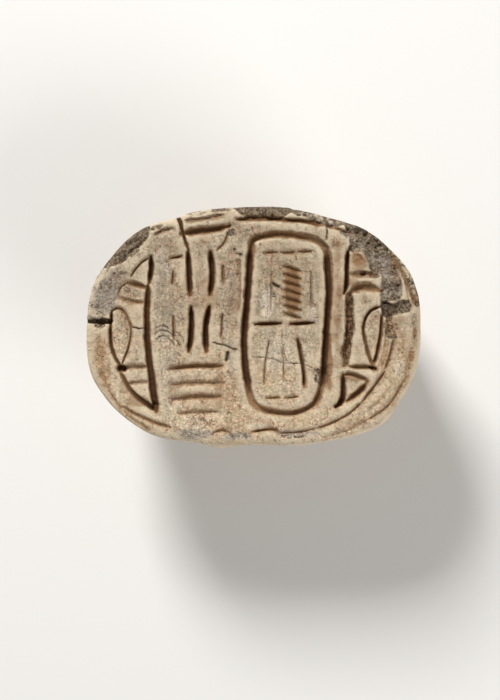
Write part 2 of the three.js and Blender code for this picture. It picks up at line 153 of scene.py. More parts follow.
def hump(degrees, at, spread):
    turn = (degrees - at + 540) % 360 - 180
    return np.exp(-((turn / spread) ** 2))


def oval_radius(angle, half_length, half_width):
    across = np.abs(np.cos(angle) / half_length) ** OUTLINE_POWER
    up = np.abs(np.sin(angle) / half_width) ** OUTLINE_POWER
    return (across + up) ** (-1 / OUTLINE_POWER)


def plate_radius(angle):
    degrees = np.degrees(angle)
    radius = oval_radius(angle, HALF_LENGTH, HALF_WIDTH)
    for at, spread, out in RIM_WEAR:
        radius = radius + out * hump(degrees, at, spread)
    start, end = RIM_STEP["start"], RIM_STEP["end"]
    standing = smoothstep(start, start + RIM_STEP["rise"], degrees)
    standing = standing * (1 - smoothstep(end - RIM_STEP["fall"], end, degrees))
    x, y = radius * np.cos(angle), radius * np.sin(angle)
    lumps = EDGE_LUMPS["depth"] * noise(x, y, 0.0, EDGE_LUMPS["size"], 3)
    return radius + RIM_STEP["out"] * standing + EDGE_SPARE - lumps


def slope_inset(angle):
    return sum(inset * hump(np.degrees(angle), at, spread) for at, spread, inset in SIDE_SLOPES)


# The engraved face, as maps over X and Y
map_x = np.arange(-HALF_LENGTH - 0.3, HALF_LENGTH + 0.3, MAP_CELL, dtype=np.float32)
map_y = np.arange(-HALF_WIDTH - 0.4, HALF_WIDTH + 0.4, MAP_CELL, dtype=np.float32)
MAP_X, MAP_Y = np.meshgrid(map_x, map_y, indexing="ij")
MAP_NAMES = ("depth", "dirt", "patina", "grey", "crack", "ochre", "clean")
maps = {name: np.zeros_like(MAP_X) for name in MAP_NAMES}
EDGE_WOBBLE = noise(MAP_X, MAP_Y, 3.0, 0.28, 3)
PATCH_WOBBLE = noise(MAP_X, MAP_Y, 9.0, 0.7, 4) - 0.5
BAND_WOBBLE = noise(MAP_X, MAP_Y, 21.0, 1.1, 5) - 0.5
ANGLE = np.arctan2(MAP_Y, MAP_X)
# Distance in from the edge of the face
INSIDE = plate_radius(ANGLE) - slope_inset(ANGLE) - np.hypot(MAP_X, MAP_Y)


def sample(name, x, y):
    """The value of a map at places, read between its grid points."""
    u = np.clip((x - map_x[0]) / MAP_CELL, 0, len(map_x) - 1.001)
    v = np.clip((y - map_y[0]) / MAP_CELL, 0, len(map_y) - 1.001)
    i, j = u.astype(int), v.astype(int)
    s, t = u - i, v - j
    grid = maps[name]
    near = grid[i, j] * (1 - t) + grid[i, j + 1] * t
    far = grid[i + 1, j] * (1 - t) + grid[i + 1, j + 1] * t
    return near * (1 - s) + far * s


def curve_through(points, closed=False, step=0.12):
    """Close points on a smooth curve through the given ones."""
    points = np.array(points, float)
    count = len(points)
    if count == 2 and not closed:
        return np.linspace(points[0], points[1], 5)
    made = []
    for i in range(count if closed else count - 1):
        if closed:
            around = [points[(i + k) % count] for k in (-1, 0, 1, 2)]
        else:
            around = [points[min(max(i + k, 0), count - 1)] for k in (-1, 0, 1, 2)]
        a, b, c, d = around
        steps = max(2, int(np.linalg.norm(c - b) / step))
        for t in np.arange(steps) / steps:
            made.append(0.5 * (2 * b + (c - a) * t + (2 * a - 5 * b + 4 * c - d) * t**2
                               + (3 * b - a - 3 * c + d) * t**3))
    made.append(points[0] if closed else points[-1])
    return np.array(made)


def near_path(path, sizes, reach):
    """A window of the maps round a path, and there the distance to the path in half widths and
    the share of the full cut at the nearest place."""
    ix = slice(*np.searchsorted(map_x, [path[:, 0].min() - reach, path[:, 0].max() + reach]))
    iy = slice(*np.searchsorted(map_y, [path[:, 1].min() - reach, path[:, 1].max() + reach]))
    x, y = MAP_X[ix, iy], MAP_Y[ix, iy]
    closest = np.full(x.shape, 1e3, np.float32)
    share = np.ones(x.shape, np.float32)
    full = sizes.max()
    for a, b, wide_a, wide_b in zip(path[:-1], path[1:], sizes[:-1], sizes[1:]):
        along = b - a
        t = np.clip(((x - a[0]) * along[0] + (y - a[1]) * along[1]) / (along @ along + 1e-9), 0, 1)
        wide = wide_a + (wide_b - wide_a) * t
        distance = np.hypot(x - a[0] - t * along[0], y - a[1] - t * along[1]) / (wide / 2)
        nearer = distance < closest
        closest = np.where(nearer, distance, closest)
        share = np.where(nearer, wide / full, share)
    return (ix, iy), closest, share


# Across a cut, in half widths from its middle: where its wall, the dirt on its floor, its worn
# lip and the warm edge round it start and end
WALL = (0.42, 1.35)
FLOOR_DIRT = (0.5, 1.3)
LIP = (1.0, 3.4)
WARM_EDGE = (0.8, 2.4)
LIP_DEPTH = 0.035
WARM_SHARE = 0.55


def carve(points, width, depth, dirt=1.0, end_width=None, closed=False, tips=0.62):
    """Cuts a stroke into the face: wide worn lips, steep walls, a narrow floor with dirt on it
    and a warm edge round it. A shallow stroke holds less dirt."""
    path = curve_through(points, closed)
    sizes = np.linspace(width, end_width or width, len(path))
    if not closed:
        run = np.concatenate([[0], np.cumsum(np.linalg.norm(np.diff(path, axis=0), axis=1))])
        from_end = np.minimum(run, run[-1] - run)
        sizes = sizes * (tips + (1 - tips) * smoothstep(0, 1.3 * width, from_end))
    window, closest, share = near_path(path, sizes, width * 1.8)
    closest = closest * (0.72 + 0.56 * EDGE_WOBBLE[window])
    cut = depth * share * (1 - smoothstep(*WALL, closest))
    cut = cut + LIP_DEPTH * (1 - smoothstep(*LIP, closest))
    fill = dirt * min(1, 0.25 + 2.2 * depth) * (1 - smoothstep(*FLOOR_DIRT, closest))
    fill = fill * (0.4 + 0.6 * share)
    warm = WARM_SHARE * dirt * (1 - smoothstep(*WARM_EDGE, closest))
    for name, values in (("depth", cut), ("dirt", fill), ("ochre", warm)):
        maps[name][window] = np.maximum(maps[name][window], values)


# Strokes: points in millimetres from the middle of the face, then width, depth, how much dirt
# they hold and end width
DEEP = 0.36
SHALLOW = 0.16

BORDER = [
    ([(-7.02, -4.26), (-6.54, -4.58), (-5.84, -4.9), (-5.04, -5.22), (-4.5, -5.4)],
     0.2, SHALLOW, 0.8),
    ([(-2.15, -5.66), (-1.72, -5.52), (-1.3, -5.66)], 0.2, 0.14),
    ([(-0.1, -5.6), (0.59, -5.49), (1.12, -5.49), (1.34, -5.7)], 0.2, SHALLOW),
    ([(7.54, -0.55), (7.42, -1.11), (7.3, -1.57), (7.06, -2.25)], 0.2, 0.15, 0.75),
    ([(7.02, -2.38), (6.7, -2.84), (6.18, -3.55), (5.82, -4.0)], 0.22, SHALLOW, 0.8),
    ([(5.74, -4.08), (4.97, -4.72), (4.2, -5.12), (3.45, -5.4)], 0.18, 0.14, 0.75),
    ([(3.35, -5.42), (2.4, -5.6), (1.3, -5.66)], 0.15, 0.12, 0.7),
    ([(8.62, 0.6), (8.66, -0.6), (8.5, -1.6), (8.2, -2.6)], 0.16, 0.06, 0.35),
    ([(8.0, -2.9), (7.6, -3.65), (7.05, -4.3), (6.2, -4.92)], 0.18, 0.1, 0.8),
    ([(6.0, -5.05), (4.9, -5.55), (3.7, -5.88)], 0.14, 0.07, 0.6),
    ([(7.25, -3.3), (6.75, -3.95), (6.1, -4.5)], 0.12, 0.05, 0.4),
    ([(7.5, 3.8), (8.0, 2.95), (8.35, 2.1), (8.6, 1.3)], 0.15, 0.12),
    ([(7.95, 2.9), (8.2, 2.2), (8.3, 1.4)], 0.12, 0.07, 0.7),
    ([(-8.2, -2.4), (-7.6, -3.7), (-6.7, -4.75), (-5.6, -5.5)], 0.16, 0.06),
    ([(-0.9, 5.81), (0.59, 5.84), (1.98, 5.76), (2.73, 5.71), (3.7, 5.49)], 0.26, 0.24),
    ([(3.85, 5.45), (4.87, 5.2), (5.3, 4.98)], 0.13, SHALLOW),
    ([(-5.3, 5.0), (-4.9, 5.2), (-4.35, 5.3)], 0.2, 0.12, 0.7),
    ([(-0.85, 3.7), (-0.75, 2.4), (-0.82, 1.0)], 0.12, 0.06),
    ([(-3.9, 5.04), (-2.89, 5.2), (-2.09, 5.28), (-1.34, 5.44)], 0.42, 0.3, 0.8),
    ([(-3.65, 5.72), (-2.63, 5.84), (-1.75, 6.0)], 0.22, 0.14, 0.8),
]
UPPER_CRACK = [(-4.14, 6.0), (-3.96, 5.65), (-3.86, 5.22), (-3.7, 4.69), (-3.52, 4.15)]
FRAME_LOOP = [
    (0.0, 4.72), (0.9, 4.97), (1.6, 5.01), (2.6, 4.87), (3.55, 4.55), (3.95, 3.8), (4.02, 2.0),
    (3.91, 0.1), (3.8, -1.5), (3.72, -2.9), (3.3, -4.0), (2.4, -4.52), (1.3, -4.58), (0.15, -4.25),
    (-0.25, -3.5), (-0.45, -2.2), (-0.54, -0.7), (-0.46, 0.6), (-0.28, 2.5), (-0.14, 4.2),
]
LEFT_END = [
    ([(-5.55, 3.82), (-5.53, 3.1), (-5.62, 2.4)], 0.3, DEEP),
    ([(-5.7, 2.25), (-5.76, 0.1), (-5.7, -1.1), (-5.45, -3.1), (-5.25, -4.5)], 0.33, DEEP, 1.0, 0.42),
    ([(-5.6, 3.74), (-5.95, 3.56), (-6.32, 3.19), (-6.62, 2.72)], 0.13, SHALLOW),
    ([(-6.8, 2.42), (-6.2, 2.28), (-5.7, 2.08)], 0.34, 0.26, 0.8),
    ([(-7.18, 1.58), (-6.64, 1.42), (-5.84, 1.31)], 0.26, SHALLOW, 0.7),
    ([(-6.75, 2.44), (-7.12, 2.17), (-7.29, 1.74), (-7.18, 1.53)], 0.09, 0.1),
    ([(-7.64, 0.85), (-7.71, -0.13), (-7.66, -0.94), (-7.45, -1.63), (-7.15, -2.1)], 0.19, 0.26),
    ([(-7.66, 0.88), (-7.29, 1.04), (-6.96, 0.78), (-6.7, 0.29), (-6.59, -0.24), (-6.75, -1.1),
      (-7.12, -2.05)], 0.14, SHALLOW),
    ([(-7.2, -2.12), (-5.6, -2.12)], 0.34, 0.2, 0.7),
    ([(-6.86, -3.0), (-5.46, -2.92)], 0.3, 0.18, 0.65),
    ([(-7.23, -2.28), (-6.96, -2.81), (-6.64, -3.35), (-6.21, -3.78), (-5.68, -4.15),
      (-5.25, -4.45)], 0.2, 0.3, 1.0, 0.34),
]
LEFT_PIT = [(-7.2, -2.16), (-7.0, -2.22)]
RIGHT_END = [
    ([(5.04, 4.1), (5.0, 3.2), (4.98, 2.28), (4.85, 1.85)], 0.26, DEEP),
    ([(5.12, 1.7), (5.12, -0.13), (4.93, -1.21), (4.82, -2.05)], 0.5, 0.2, 0.3),
    ([(4.77, -2.5), (4.8, -3.3), (4.72, -3.95), (4.4, -4.24)], 0.28, DEEP, 1.0, 0.4),
    ([(5.14, 2.84), (5.9, 2.88), (6.48, 2.8)], 0.42, 0.2, 0.75),
    ([(5.1, 1.8), (5.5, 2.1), (6.1, 2.18), (6.75, 1.98)], 0.44, 0.24, 0.85),
    ([(6.78, 1.13), (6.32, 0.93), (6.0, 0.51), (5.88, 0.0), (5.93, -0.5), (6.16, -1.46),
      (6.43, -2.17)], 0.19, 0.24, 0.9),
    ([(6.86, 0.67), (6.82, -0.2), (6.66, -1.2), (6.44, -2.0)], 0.23, 0.26, 0.9),
    ([(5.1, -2.1), (6.48, -2.14)], 0.3, 0.24, 0.8),
    ([(6.2, -2.12), (6.52, -2.24)], 0.34, DEEP),
    ([(4.77, -2.56), (5.2, -2.5), (6.05, -2.84)], 0.26, 0.24, 0.85),
    ([(6.08, -2.95), (5.7, -3.4), (4.98, -3.97)], 0.36, 0.28, 0.8),
]

# Rows of plain upright, level and slanted strokes
COLUMN_ROWS = [
    ([(-4.45, 3.72), (-3.9, 3.82)], 0.18, 0.2),
    ([(-1.39, 5.1), (-1.61, 4.53), (-1.98, 4.15)], 0.12, 0.12),
    ([(-3.55, 4.05), (-3.5, 3.1), (-3.42, 1.75)], 0.3, DEEP),
    ([(-2.36, 4.05), (-2.25, 3.0), (-2.34, 1.75)], 0.34, DEEP),
    ([(-3.4, 1.1), (-3.36, 0.1), (-3.5, -1.3)], 0.32, DEEP),
    ([(-2.42, 1.1), (-2.6, -0.1), (-2.55, -1.3)], 0.34, DEEP),
    ([(-4.34, 3.0), (-4.38, 2.3)], 0.14, SHALLOW),
    ([(-1.68, 3.3), (-1.64, 2.3)], 0.16, SHALLOW),
    ([(-4.34, 0.6), (-4.3, -0.7)], 0.14, SHALLOW),
    ([(-1.7, 0.7), (-1.76, -0.6)], 0.16, SHALLOW),
    ([(-4.5, -2.2), (-3.2, -2.08), (-1.75, -2.1)], 0.34, 0.24, 0.75),
    ([(-4.42, -3.08), (-3.1, -2.98), (-1.8, -2.98)], 0.3, 0.16, 0.7),
    ([(-4.28, -3.84), (-3.0, -3.72), (-1.84, -3.74)], 0.34, 0.2, 0.75),
    ([(-4.1, -4.62), (-3.0, -4.56), (-2.02, -4.54)], 0.28, 0.15, 0.65),
]
FRAME_ROWS = [
    ([(0.52, 4.0), (1.22, 4.04)], 0.17, 0.14),
    ([(1.48, 4.02), (2.14, 4.0)], 0.19, 0.15),
    ([(2.4, 4.06), (3.06, 4.08)], 0.18, 0.14),
    ([(0.95, 2.95), (0.9, 0.85)], 0.09, 0.1),
    ([(3.06, 3.0), (3.08, 0.9)], 0.09, 0.1),
    ([(0.05, 0.18), (1.44, 0.22)], 0.24, 0.26),
    ([(1.93, 0.2), (3.2, 0.26)], 0.24, 0.26),
    ([(2.34, -0.62), (2.6, -1.9), (2.72, -3.2)], 0.2, 0.26),
    ([(0.82, -0.7), (0.6, -2.0), (0.55, -3.1)], 0.1, 0.12),
    ([(1.56, -0.9), (1.6, -2.9)], 0.1, 0.11),
    ([(0.66, -3.8), (1.38, -3.76)], 0.13, 0.13),
    ([(1.66, -3.78), (2.36, -3.72)], 0.13, 0.13),
]
# The sides of the frame hold dark earth; its top and bottom are cleaner
FRAME_FILL = [
    [(-0.2, 4.3), (-0.28, 2.5), (-0.46, 0.6), (-0.54, -0.7), (-0.45, -2.2), (-0.25, -3.4)],
    [(3.9, 4.1), (4.02, 2.0), (3.91, 0.1), (3.8, -1.5), (3.72, -2.9)],
]
HATCH = {"x": 1.62, "width": 0.86, "top": 3.3, "pitch": 0.42, "count": 7, "fall": 0.3}
HATCH_STROKE = (0.19, 0.17)
FRAME_WIDTH = 0.38
FRAME_DEPTH = 0.28

# The figures at both ends stand in low relief: their inner panels are cut back a little
SUNK_PANELS = [
    [(-5.65, 3.6), (-6.2, 3.25), (-6.55, 2.75), (-6.1, 2.45), (-5.7, 2.35)],
    [(-6.85, 2.2), (-5.85, 1.95), (-5.85, 1.5), (-7.0, 1.65)],
    [(-7.5, 0.8), (-7.0, 0.7), (-6.7, -0.3), (-6.85, -1.1), (-7.15, -1.9), (-7.55, -0.9)],
    [(-6.9, -2.3), (-5.75, -2.3), (-5.7, -2.8), (-6.75, -2.9)],
    [(-6.6, -3.15), (-5.6, -3.05), (-5.4, -4.2), (-6.2, -3.65)],
    [(5.2, 3.9), (5.75, 3.8), (6.2, 3.1), (5.2, 3.1)],
    [(5.95, 0.4), (6.7, 0.85), (6.7, -0.4), (6.5, -1.7), (6.1, -1.2), (5.95, -0.4)],
    [(4.95, -2.75), (5.75, -2.9), (5.0, -3.75)],
    [(7.0, 0.5), (7.35, -0.3), (7.2, -1.2), (6.8, -2.2), (6.6, -2.2), (6.9, -1.3), (7.0, -0.4)],
]
PANEL_DEPTH = 0.09


def cut_strokes():
    for outline in SUNK_PANELS:
        maps["depth"] += PANEL_DEPTH * region(outline, 0.2)
    for stroke in BORDER + LEFT_END + RIGHT_END + COLUMN_ROWS + FRAME_ROWS:
        carve(*stroke)
    carve(LEFT_PIT, 0.42, 0.3, tips=1.0)
    carve(UPPER_CRACK, 0.24, 0.34, dirt=1.3, end_width=0.12, tips=1.0)
    carve(FRAME_LOOP, FRAME_WIDTH, FRAME_DEPTH, dirt=0.66, closed=True)
    for run in FRAME_FILL:
        carve(run, FRAME_WIDTH, DEEP)
    for i in range(HATCH["count"]):
        x, y = HATCH["x"], HATCH["top"] - i * HATCH["pitch"]
        carve([(x, y), (x + HATCH["width"], y - HATCH["fall"])], *HATCH_STROKE)


# Damage and dirt on the face
def patch(x, y, half_length, half_width, turn=0.0):
    """A lumpy oval area of the face: 1 well inside it and 0 outside."""
    c, s = math.cos(math.radians(turn)), math.sin(math.radians(turn))
    dx, dy = MAP_X - x, MAP_Y - y
    far = np.hypot((dx * c + dy * s) / half_length, (dy * c - dx * s) / half_width)
    return 1 - smoothstep(0.75, 1.1, far + PATCH_WOBBLE)


def region(outline, ragged=0.5):
    """A lumpy area of the face inside a closed line: 1 inside it and 0 outside."""
    path = curve_through(outline, closed=True)
    window, far, _ = near_path(path, np.full(len(path), 2.0), 0.8)
    x, y = MAP_X[window], MAP_Y[window]
    inside = np.zeros(x.shape, bool)
    for (ax, ay), (bx, by) in zip(path[:-1], path[1:]):
        rise = by - ay if by != ay else 1e-9
        inside ^= ((ay > y) != (by > y)) & (x < ax + (y - ay) / rise * (bx - ax))
    area = np.zeros_like(MAP_X)
    outward = np.where(inside, -far, far) + ragged * PATCH_WOBBLE[window]
    area[window] = 1 - smoothstep(-0.06, 0.06, outward)
    return area


def rim_band(start, end, reach):
    """A lumpy area along the rim between two angles, reaching in from the edge."""
    degrees = np.degrees(ANGLE) % 360
    from_end = np.minimum(degrees - start, end - degrees)
    shape = smoothstep(-1, 6, from_end) ** 0.5
    inner = reach * shape - 0.02 - INSIDE + 0.7 * BAND_WOBBLE * shape
    return smoothstep(-0.05, 0.05, inner) * (from_end > -1)


def crack(points, width=0.07, depth=0.12, darkness=1.0):
    path = curve_through(points)
    wander = noise(path[:, 0] * 3, path[:, 1] * 3, 2.0, 0.6, 2) - 0.5
    path = path + 0.12 * np.stack([wander, wander[::-1]], axis=1)
    window, closest, _ = near_path(path, np.full(len(path), width), 0.3)
    line = 1 - smoothstep(0.5, 1.5, closest * (0.7 + 0.6 * EDGE_WOBBLE[window]))
    maps["depth"][window] = np.maximum(maps["depth"][window], depth * line)
    broken = 0.25 + 0.75 * smoothstep(0.38, 0.56, EDGE_WOBBLE[window])
    maps["crack"][window] = np.maximum(maps["crack"][window], darkness * line * broken)


# Cracks: points, then width, depth and darkness
CRACKS = [
    ([(7.1, -0.18), (7.22, -0.46), (7.62, -0.55)], 0.16, 0.14, 0.9),
    ([(-6.59, 0.03), (-6.2, -0.05), (-5.82, -0.03)],),
    ([(-2.2, -0.83), (-1.6, -0.98), (-0.96, -1.21)],),
    ([(-0.11, -1.58), (0.8, -1.66), (1.61, -1.9), (2.5, -1.95), (3.43, -2.28)], 0.05, 0.08, 0.7),
    ([(3.91, 5.44), (3.93, 5.1), (3.9, 4.75)],),
    ([(-5.3, -0.35), (-4.9, -0.15), (-4.4, -0.4), (-4.0, -0.95)], 0.06, 0.08, 1.0),
    ([(-5.2, -0.6), (-4.85, -0.42), (-4.5, -0.62), (-4.25, -0.95)], 0.06, 0.07, 1.0),
    ([(-1.07, 4.21), (-1.02, 3.98), (-0.7, 3.92)], 0.12, 0.12, 1.0),
    ([(1.02, 2.38), (1.34, 2.17)], 0.14, 0.12, 1.0),
    ([(-1.43, -1.35), (-1.46, -1.75)], 0.2, 0.14, 0.9),
    ([(-5.25, 0.02), (-4.9, 0.12), (-4.55, 0.0)], 0.05, 0.06, 1.0),
    ([(-4.35, -0.2), (-4.0, -0.35), (-3.75, -0.8)], 0.05, 0.06, 1.0),
    ([(2.3, 2.4), (3.2, 2.44)], 0.04, 0.05, 0.5),
    ([(0.15, 1.6), (0.6, 1.85), (1.1, 1.8)], 0.04, 0.05, 0.5),
]


# Flakes along the rim: angles in degrees, reach in from the edge, drop, crust and grey skin
RIM_FLAKES = [
    (136.5, 158, 0.78, 0.16, 1.0, 0.0), (153, 178, 1.5, 0.03, 0.3, 1.0),
    (71.5, 99, 0.74, 0.14, 1.0, 0.3), (47, 73, 0.42, 0.12, 0.55, 0.9),
    (30, 49, 0.6, 0.16, 0.9, 0.5), (98, 121, 0.3, 0.06, 0.5, 0.3),
    (8, 34, 0.24, 0.05, 0.6, 0.0),
]
# The big chip at the upper right and the hollow at its lower end
CHIP_OUTLINE = [
    (4.7, 5.15), (5.15, 4.75), (5.2, 4.1), (5.8, 4.1), (6.1, 3.5), (6.35, 3.0), (6.8, 2.8),
    (6.75, 2.0), (6.9, 1.3), (7.7, 1.35), (7.95, 1.6), (7.95, 2.4), (7.6, 3.3), (7.15, 4.25),
    (6.4, 4.95), (5.6, 5.3),
]
HOLLOW_OUTLINE = [
    (6.85, 1.4), (7.5, 1.35), (8.0, 1.5), (8.5, 1.2), (8.35, 0.85), (7.8, 0.72), (7.2, 0.52),
    (6.9, 0.75),
]
# The upright hollow right of the frame, full of brown crust
CRUST_BAND = [
    (4.92, 1.75), (5.32, 1.7), (5.36, 0.3), (5.22, -1.0), (5.1, -2.0), (4.78, -2.1),
    (4.86, -1.0), (4.9, 0.3),
]
# Chips and crusted spots: middle, half sizes, turn in degrees, drop and darkness
CHIPS = [
    (7.38, 0.12, 0.42, 0.6, 5, 0.05, 0.6), (-7.1, -2.18, 0.28, 0.26, 0, 0.12, 0.6),
    (-5.3, -4.3, 0.22, 0.24, 0, 0.1, 0.5), (-0.75, -5.85, 0.7, 0.2, 0, 0.04, 0.34),
    (-3.4, -5.75, 0.7, 0.24, 0, 0.04, 0.3), (2.4, -5.75, 1.1, 0.22, 5, 0.05, 0.36),
    (5.85, 2.92, 0.17, 0.17, 0, 0.14, 1.0), (6.45, 2.85, 0.35, 0.2, -10, 0.05, 0.7),
    (5.25, 4.3, 0.2, 0.14, 0, 0.1, 1.0), (-1.2, 5.1, 0.3, 0.2, 0, 0.04, 0.7),
    (3.6, -2.6, 0.42, 0.6, 0, 0.03, 0.85), (6.0, 4.5, 0.9, 0.45, -35, 0.04, 0.75),
    (-6.55, 4.0, 0.5, 0.2, 40, 0.04, 0.7), (-8.35, 0.33, 0.75, 0.17, 0, 0.38, 0.9),
    (-8.3, 0.1, 0.3, 0.14, 0, 0.2, 0.9), (1.1, 1.7, 0.15, 0.3, 30, 0.02, 0.5),
    (-5.3, 5.35, 0.45, 0.15, 15, 0.04, 0.6),
]
# Spots of colour by map: middle, half sizes and strength
SPOTS = {
    # Warm stains
    "ochre": [
        (8.75, 1.4, 0.16, 0.8, 1.0), (8.6, -0.35, 0.16, 0.3, 0.9), (8.45, -1.5, 0.2, 0.4, 1.0),
        (7.4, 0.1, 0.4, 0.7, 0.9), (7.0, -1.3, 0.2, 0.9, 0.8), (8.25, -3.0, 0.24, 0.5, 1.0),
        (7.45, -4.2, 0.4, 0.22, 0.9), (-6.6, -3.9, 0.6, 0.9, 0.5), (7.7, 3.3, 0.5, 1.1, 0.6),
        (5.6, 3.5, 0.6, 0.6, 1.0), (4.45, 1.4, 0.5, 3.6, 1.0), (-2.9, 4.75, 0.8, 0.3, 0.6),
        (-7.2, 2.9, 0.5, 0.8, 0.4), (5.6, 2.4, 0.7, 0.25, 0.5), (5.0, -5.1, 1.2, 0.3, 0.6),
        (1.6, 5.0, 1.9, 0.26, 1.0), (2.05, 2.2, 0.5, 1.5, 0.9), (3.4, -3.9, 0.35, 0.5, 0.9),
        (-6.3, -0.4, 0.8, 3.6, 0.3), (-3.1, -3.4, 1.3, 1.6, 0.45), (-2.95, 1.2, 0.45, 2.8, 0.4),
        (6.0, -0.6, 0.7, 2.4, 0.35), (-8.1, -1.6, 0.5, 1.8, 0.65), (8.1, -1.4, 0.4, 1.4, 0.5),
        (-1.1, -3.6, 0.5, 1.3, 0.5), (-1.05, 1.5, 0.35, 1.8, 0.45), (-4.9, -5.5, 1.0, 0.3, 0.35),
    ],
    # Thin films of earth
    "dirt": [
        (2.05, 2.0, 0.5, 1.7, 0.62), (4.45, 1.4, 0.42, 3.2, 0.34), (5.65, 3.55, 0.5, 0.6, 0.4),
        (-6.35, -3.95, 0.7, 0.4, 0.5), (-7.0, -3.2, 0.35, 0.5, 0.45), (4.02, -1.8, 0.28, 1.6, 0.6),
        (5.4, -2.72, 0.9, 0.26, 0.5), (5.35, 2.7, 0.4, 0.7, 0.45), (7.8, 0.45, 0.4, 0.3, 0.4),
        (-1.85, -3.3, 0.26, 1.6, 0.4), (-2.4, 1.9, 0.6, 1.0, 0.34), (-3.6, 2.4, 0.3, 0.9, 0.34),
        (-4.45, -3.4, 0.24, 0.9, 0.34),
    ],
    # Greyer spots, and lilac skin along the lower edge
    "grey": [
        (-4.9, 1.5, 0.6, 3.0, 0.4), (-4.6, -2.6, 0.5, 2.2, 0.3), (0.6, 0.9, 0.7, 1.6, 0.4),
        (3.2, 1.4, 0.4, 1.4, 0.4), (-1.2, 2.0, 0.35, 1.6, 0.5), (-1.1, -1.9, 0.35, 1.2, 0.4),
        (-3.2, -5.75, 1.1, 0.4, 1.0), (-0.75, -5.85, 0.9, 0.24, 1.0), (2.4, -5.72, 1.2, 0.26, 1.0),
    ],
    # Pale clean stone
    "clean": [
        (0.7, 1.4, 0.45, 0.9, 0.7), (3.1, 0.7, 0.3, 0.5, 0.6), (1.3, -1.4, 0.9, 1.0, 0.45),
        (2.7, -4.0, 0.5, 0.3, 0.5), (0.1, -5.3, 0.6, 0.2, 0.6), (7.8, -2.1, 0.3, 0.6, 0.5),
        (-5.0, 3.7, 0.4, 0.6, 0.4), (-1.7, 0.0, 0.25, 0.5, 0.5), (-4.5, 3.1, 0.3, 0.5, 0.3),
    ],
}


def lower(area, depth):
    maps["depth"] += area * depth


def stain(name, area, strength=1.0):
    maps[name] = np.maximum(maps[name], area * strength)


def ledges(count):
    """Broken layers: noise from 0 to 1 in flat steps."""
    level = noise(MAP_X, MAP_Y, 30.0, 0.9, 4) * count
    step = np.floor(level)
    return (step + smoothstep(0.7, 1, level - step)) / count


# Wear of the whole face, in millimetres
WORN_RIM = {"reach": 0.7, "depth": 0.12}
PIT_DEPTH = 0.03
SWELL = {"size": 1.3, "depth": 0.14}


def damage_face():
    rough = noise(MAP_X, MAP_Y, 0.0, 0.4, 4)
    pitted = smoothstep(0.5, 0.72, noise(MAP_X, MAP_Y, 40.0, 0.2, 3))
    layers = ledges(7)
    lower((1 - smoothstep(0.0, WORN_RIM["reach"], INSIDE)) ** 2, WORN_RIM["depth"])

    for start, end, reach, drop, crust, grey in RIM_FLAKES:
        flake = rim_band(start, end, reach)
        lower(flake, drop * (0.4 + layers + 0.4 * rough) + 0.5 * drop * pitted)
        stain("patina", flake, crust)
        stain("grey", flake, grey)
    broken = region(CHIP_OUTLINE)
    lower(broken, 0.05 + 0.3 * layers + 0.08 * pitted)
    stain("patina", broken, 0.46)
    stain("patina", broken * smoothstep(0.5, 0.75, layers), 0.8)
    stain("grey", broken)
    hollow = region(HOLLOW_OUTLINE, 0.3)
    lower(hollow, 0.16 + 0.14 * smoothstep(8.4, 7.0, MAP_X))
    stain("patina", hollow, 0.95)
    stain("crack", hollow * smoothstep(8.3, 6.9, MAP_X), 0.5)
    band = region(CRUST_BAND, 0.25)
    lower(band, 0.1 * (0.5 + rough) + 0.05 * pitted)
    stain("patina", band, 0.85)
    stain("ochre", band)
    for *oval, drop, crust in CHIPS:
        chip = patch(*oval)
        lower(chip, drop * (0.5 + rough) + 0.3 * drop * pitted)
        stain("patina", chip, crust)
    for name, spots in SPOTS.items():
        for *oval, strength in spots:
            stain(name, patch(*oval), strength)
    for line in CRACKS:
        crack(*line)
    lower(pitted, PIT_DEPTH)
    lower(noise(MAP_X, MAP_Y, 5.0, SWELL["size"], 4), SWELL["depth"])


# The field of the whole stone
grid_x = np.arange(-HALF_LENGTH - 0.25, HALF_LENGTH + 0.3, CELL, dtype=np.float32)
grid_y = np.arange(-HALF_WIDTH - 0.35, HALF_WIDTH + 0.4, CELL, dtype=np.float32)
grid_z = np.arange(-0.2, HEIGHT + 0.3, CELL, dtype=np.float32)


def block(start, end):
    """The part of the grid between two corners, with its coordinates shaped to combine."""
    spans = zip((grid_x, grid_y, grid_z), start, end)
    cuts = [slice(*np.searchsorted(grid, [a, b])) for grid, a, b in spans]
    x = grid_x[cuts[0]][:, None, None]
    y = grid_y[cuts[1]][None, :, None]
    z = grid_z[cuts[2]][None, None, :]
    return tuple(cuts), x, y, z


def plate_field(x, y, z):
    angle = np.arctan2(y, x)
    side = np.hypot(x, y) - plate_radius(angle)
    slope = smoothstep(HEIGHT - PLATE_THICKNESS * 0.5, HEIGHT, z)
    side = side + slope_inset(angle) * slope
    top = z - (HEIGHT - sample("depth", x + 0 * y, y + 0 * x))
    return smooth_max(smooth_max(side, top, 0.22), PLATE_UNDERSIDE - z, 0.35)


def waist_field(x, y, z):
    angle = np.arctan2(y, x)
    side = np.hypot(x, y) - oval_radius(angle, HALF_LENGTH - WAIST_INSET, HALF_WIDTH - WAIST_INSET)
    return np.maximum(side, np.abs(z - BORE_LEVEL) - LEG_ZONE_HEIGHT / 2 - 0.3)


# The beetle's back and the lines cut in it
COLLAR_X = -HALF_LENGTH * 0.23
COLLAR_BOW = 0.54
SUTURE_GAP = 0.42
BACK_LINE = {"width": 0.34, "depth": 0.2}
SHOULDER_LINE = {"at": 0.62, "slant": 0.067, "fades_from": 1.5, "fades_to": 1.9}


def line_cut(distance):
    across = np.abs(distance) / (BACK_LINE["width"] / 2)
    return BACK_LINE["depth"] * (1 - smoothstep(0.2, 1.0, across))


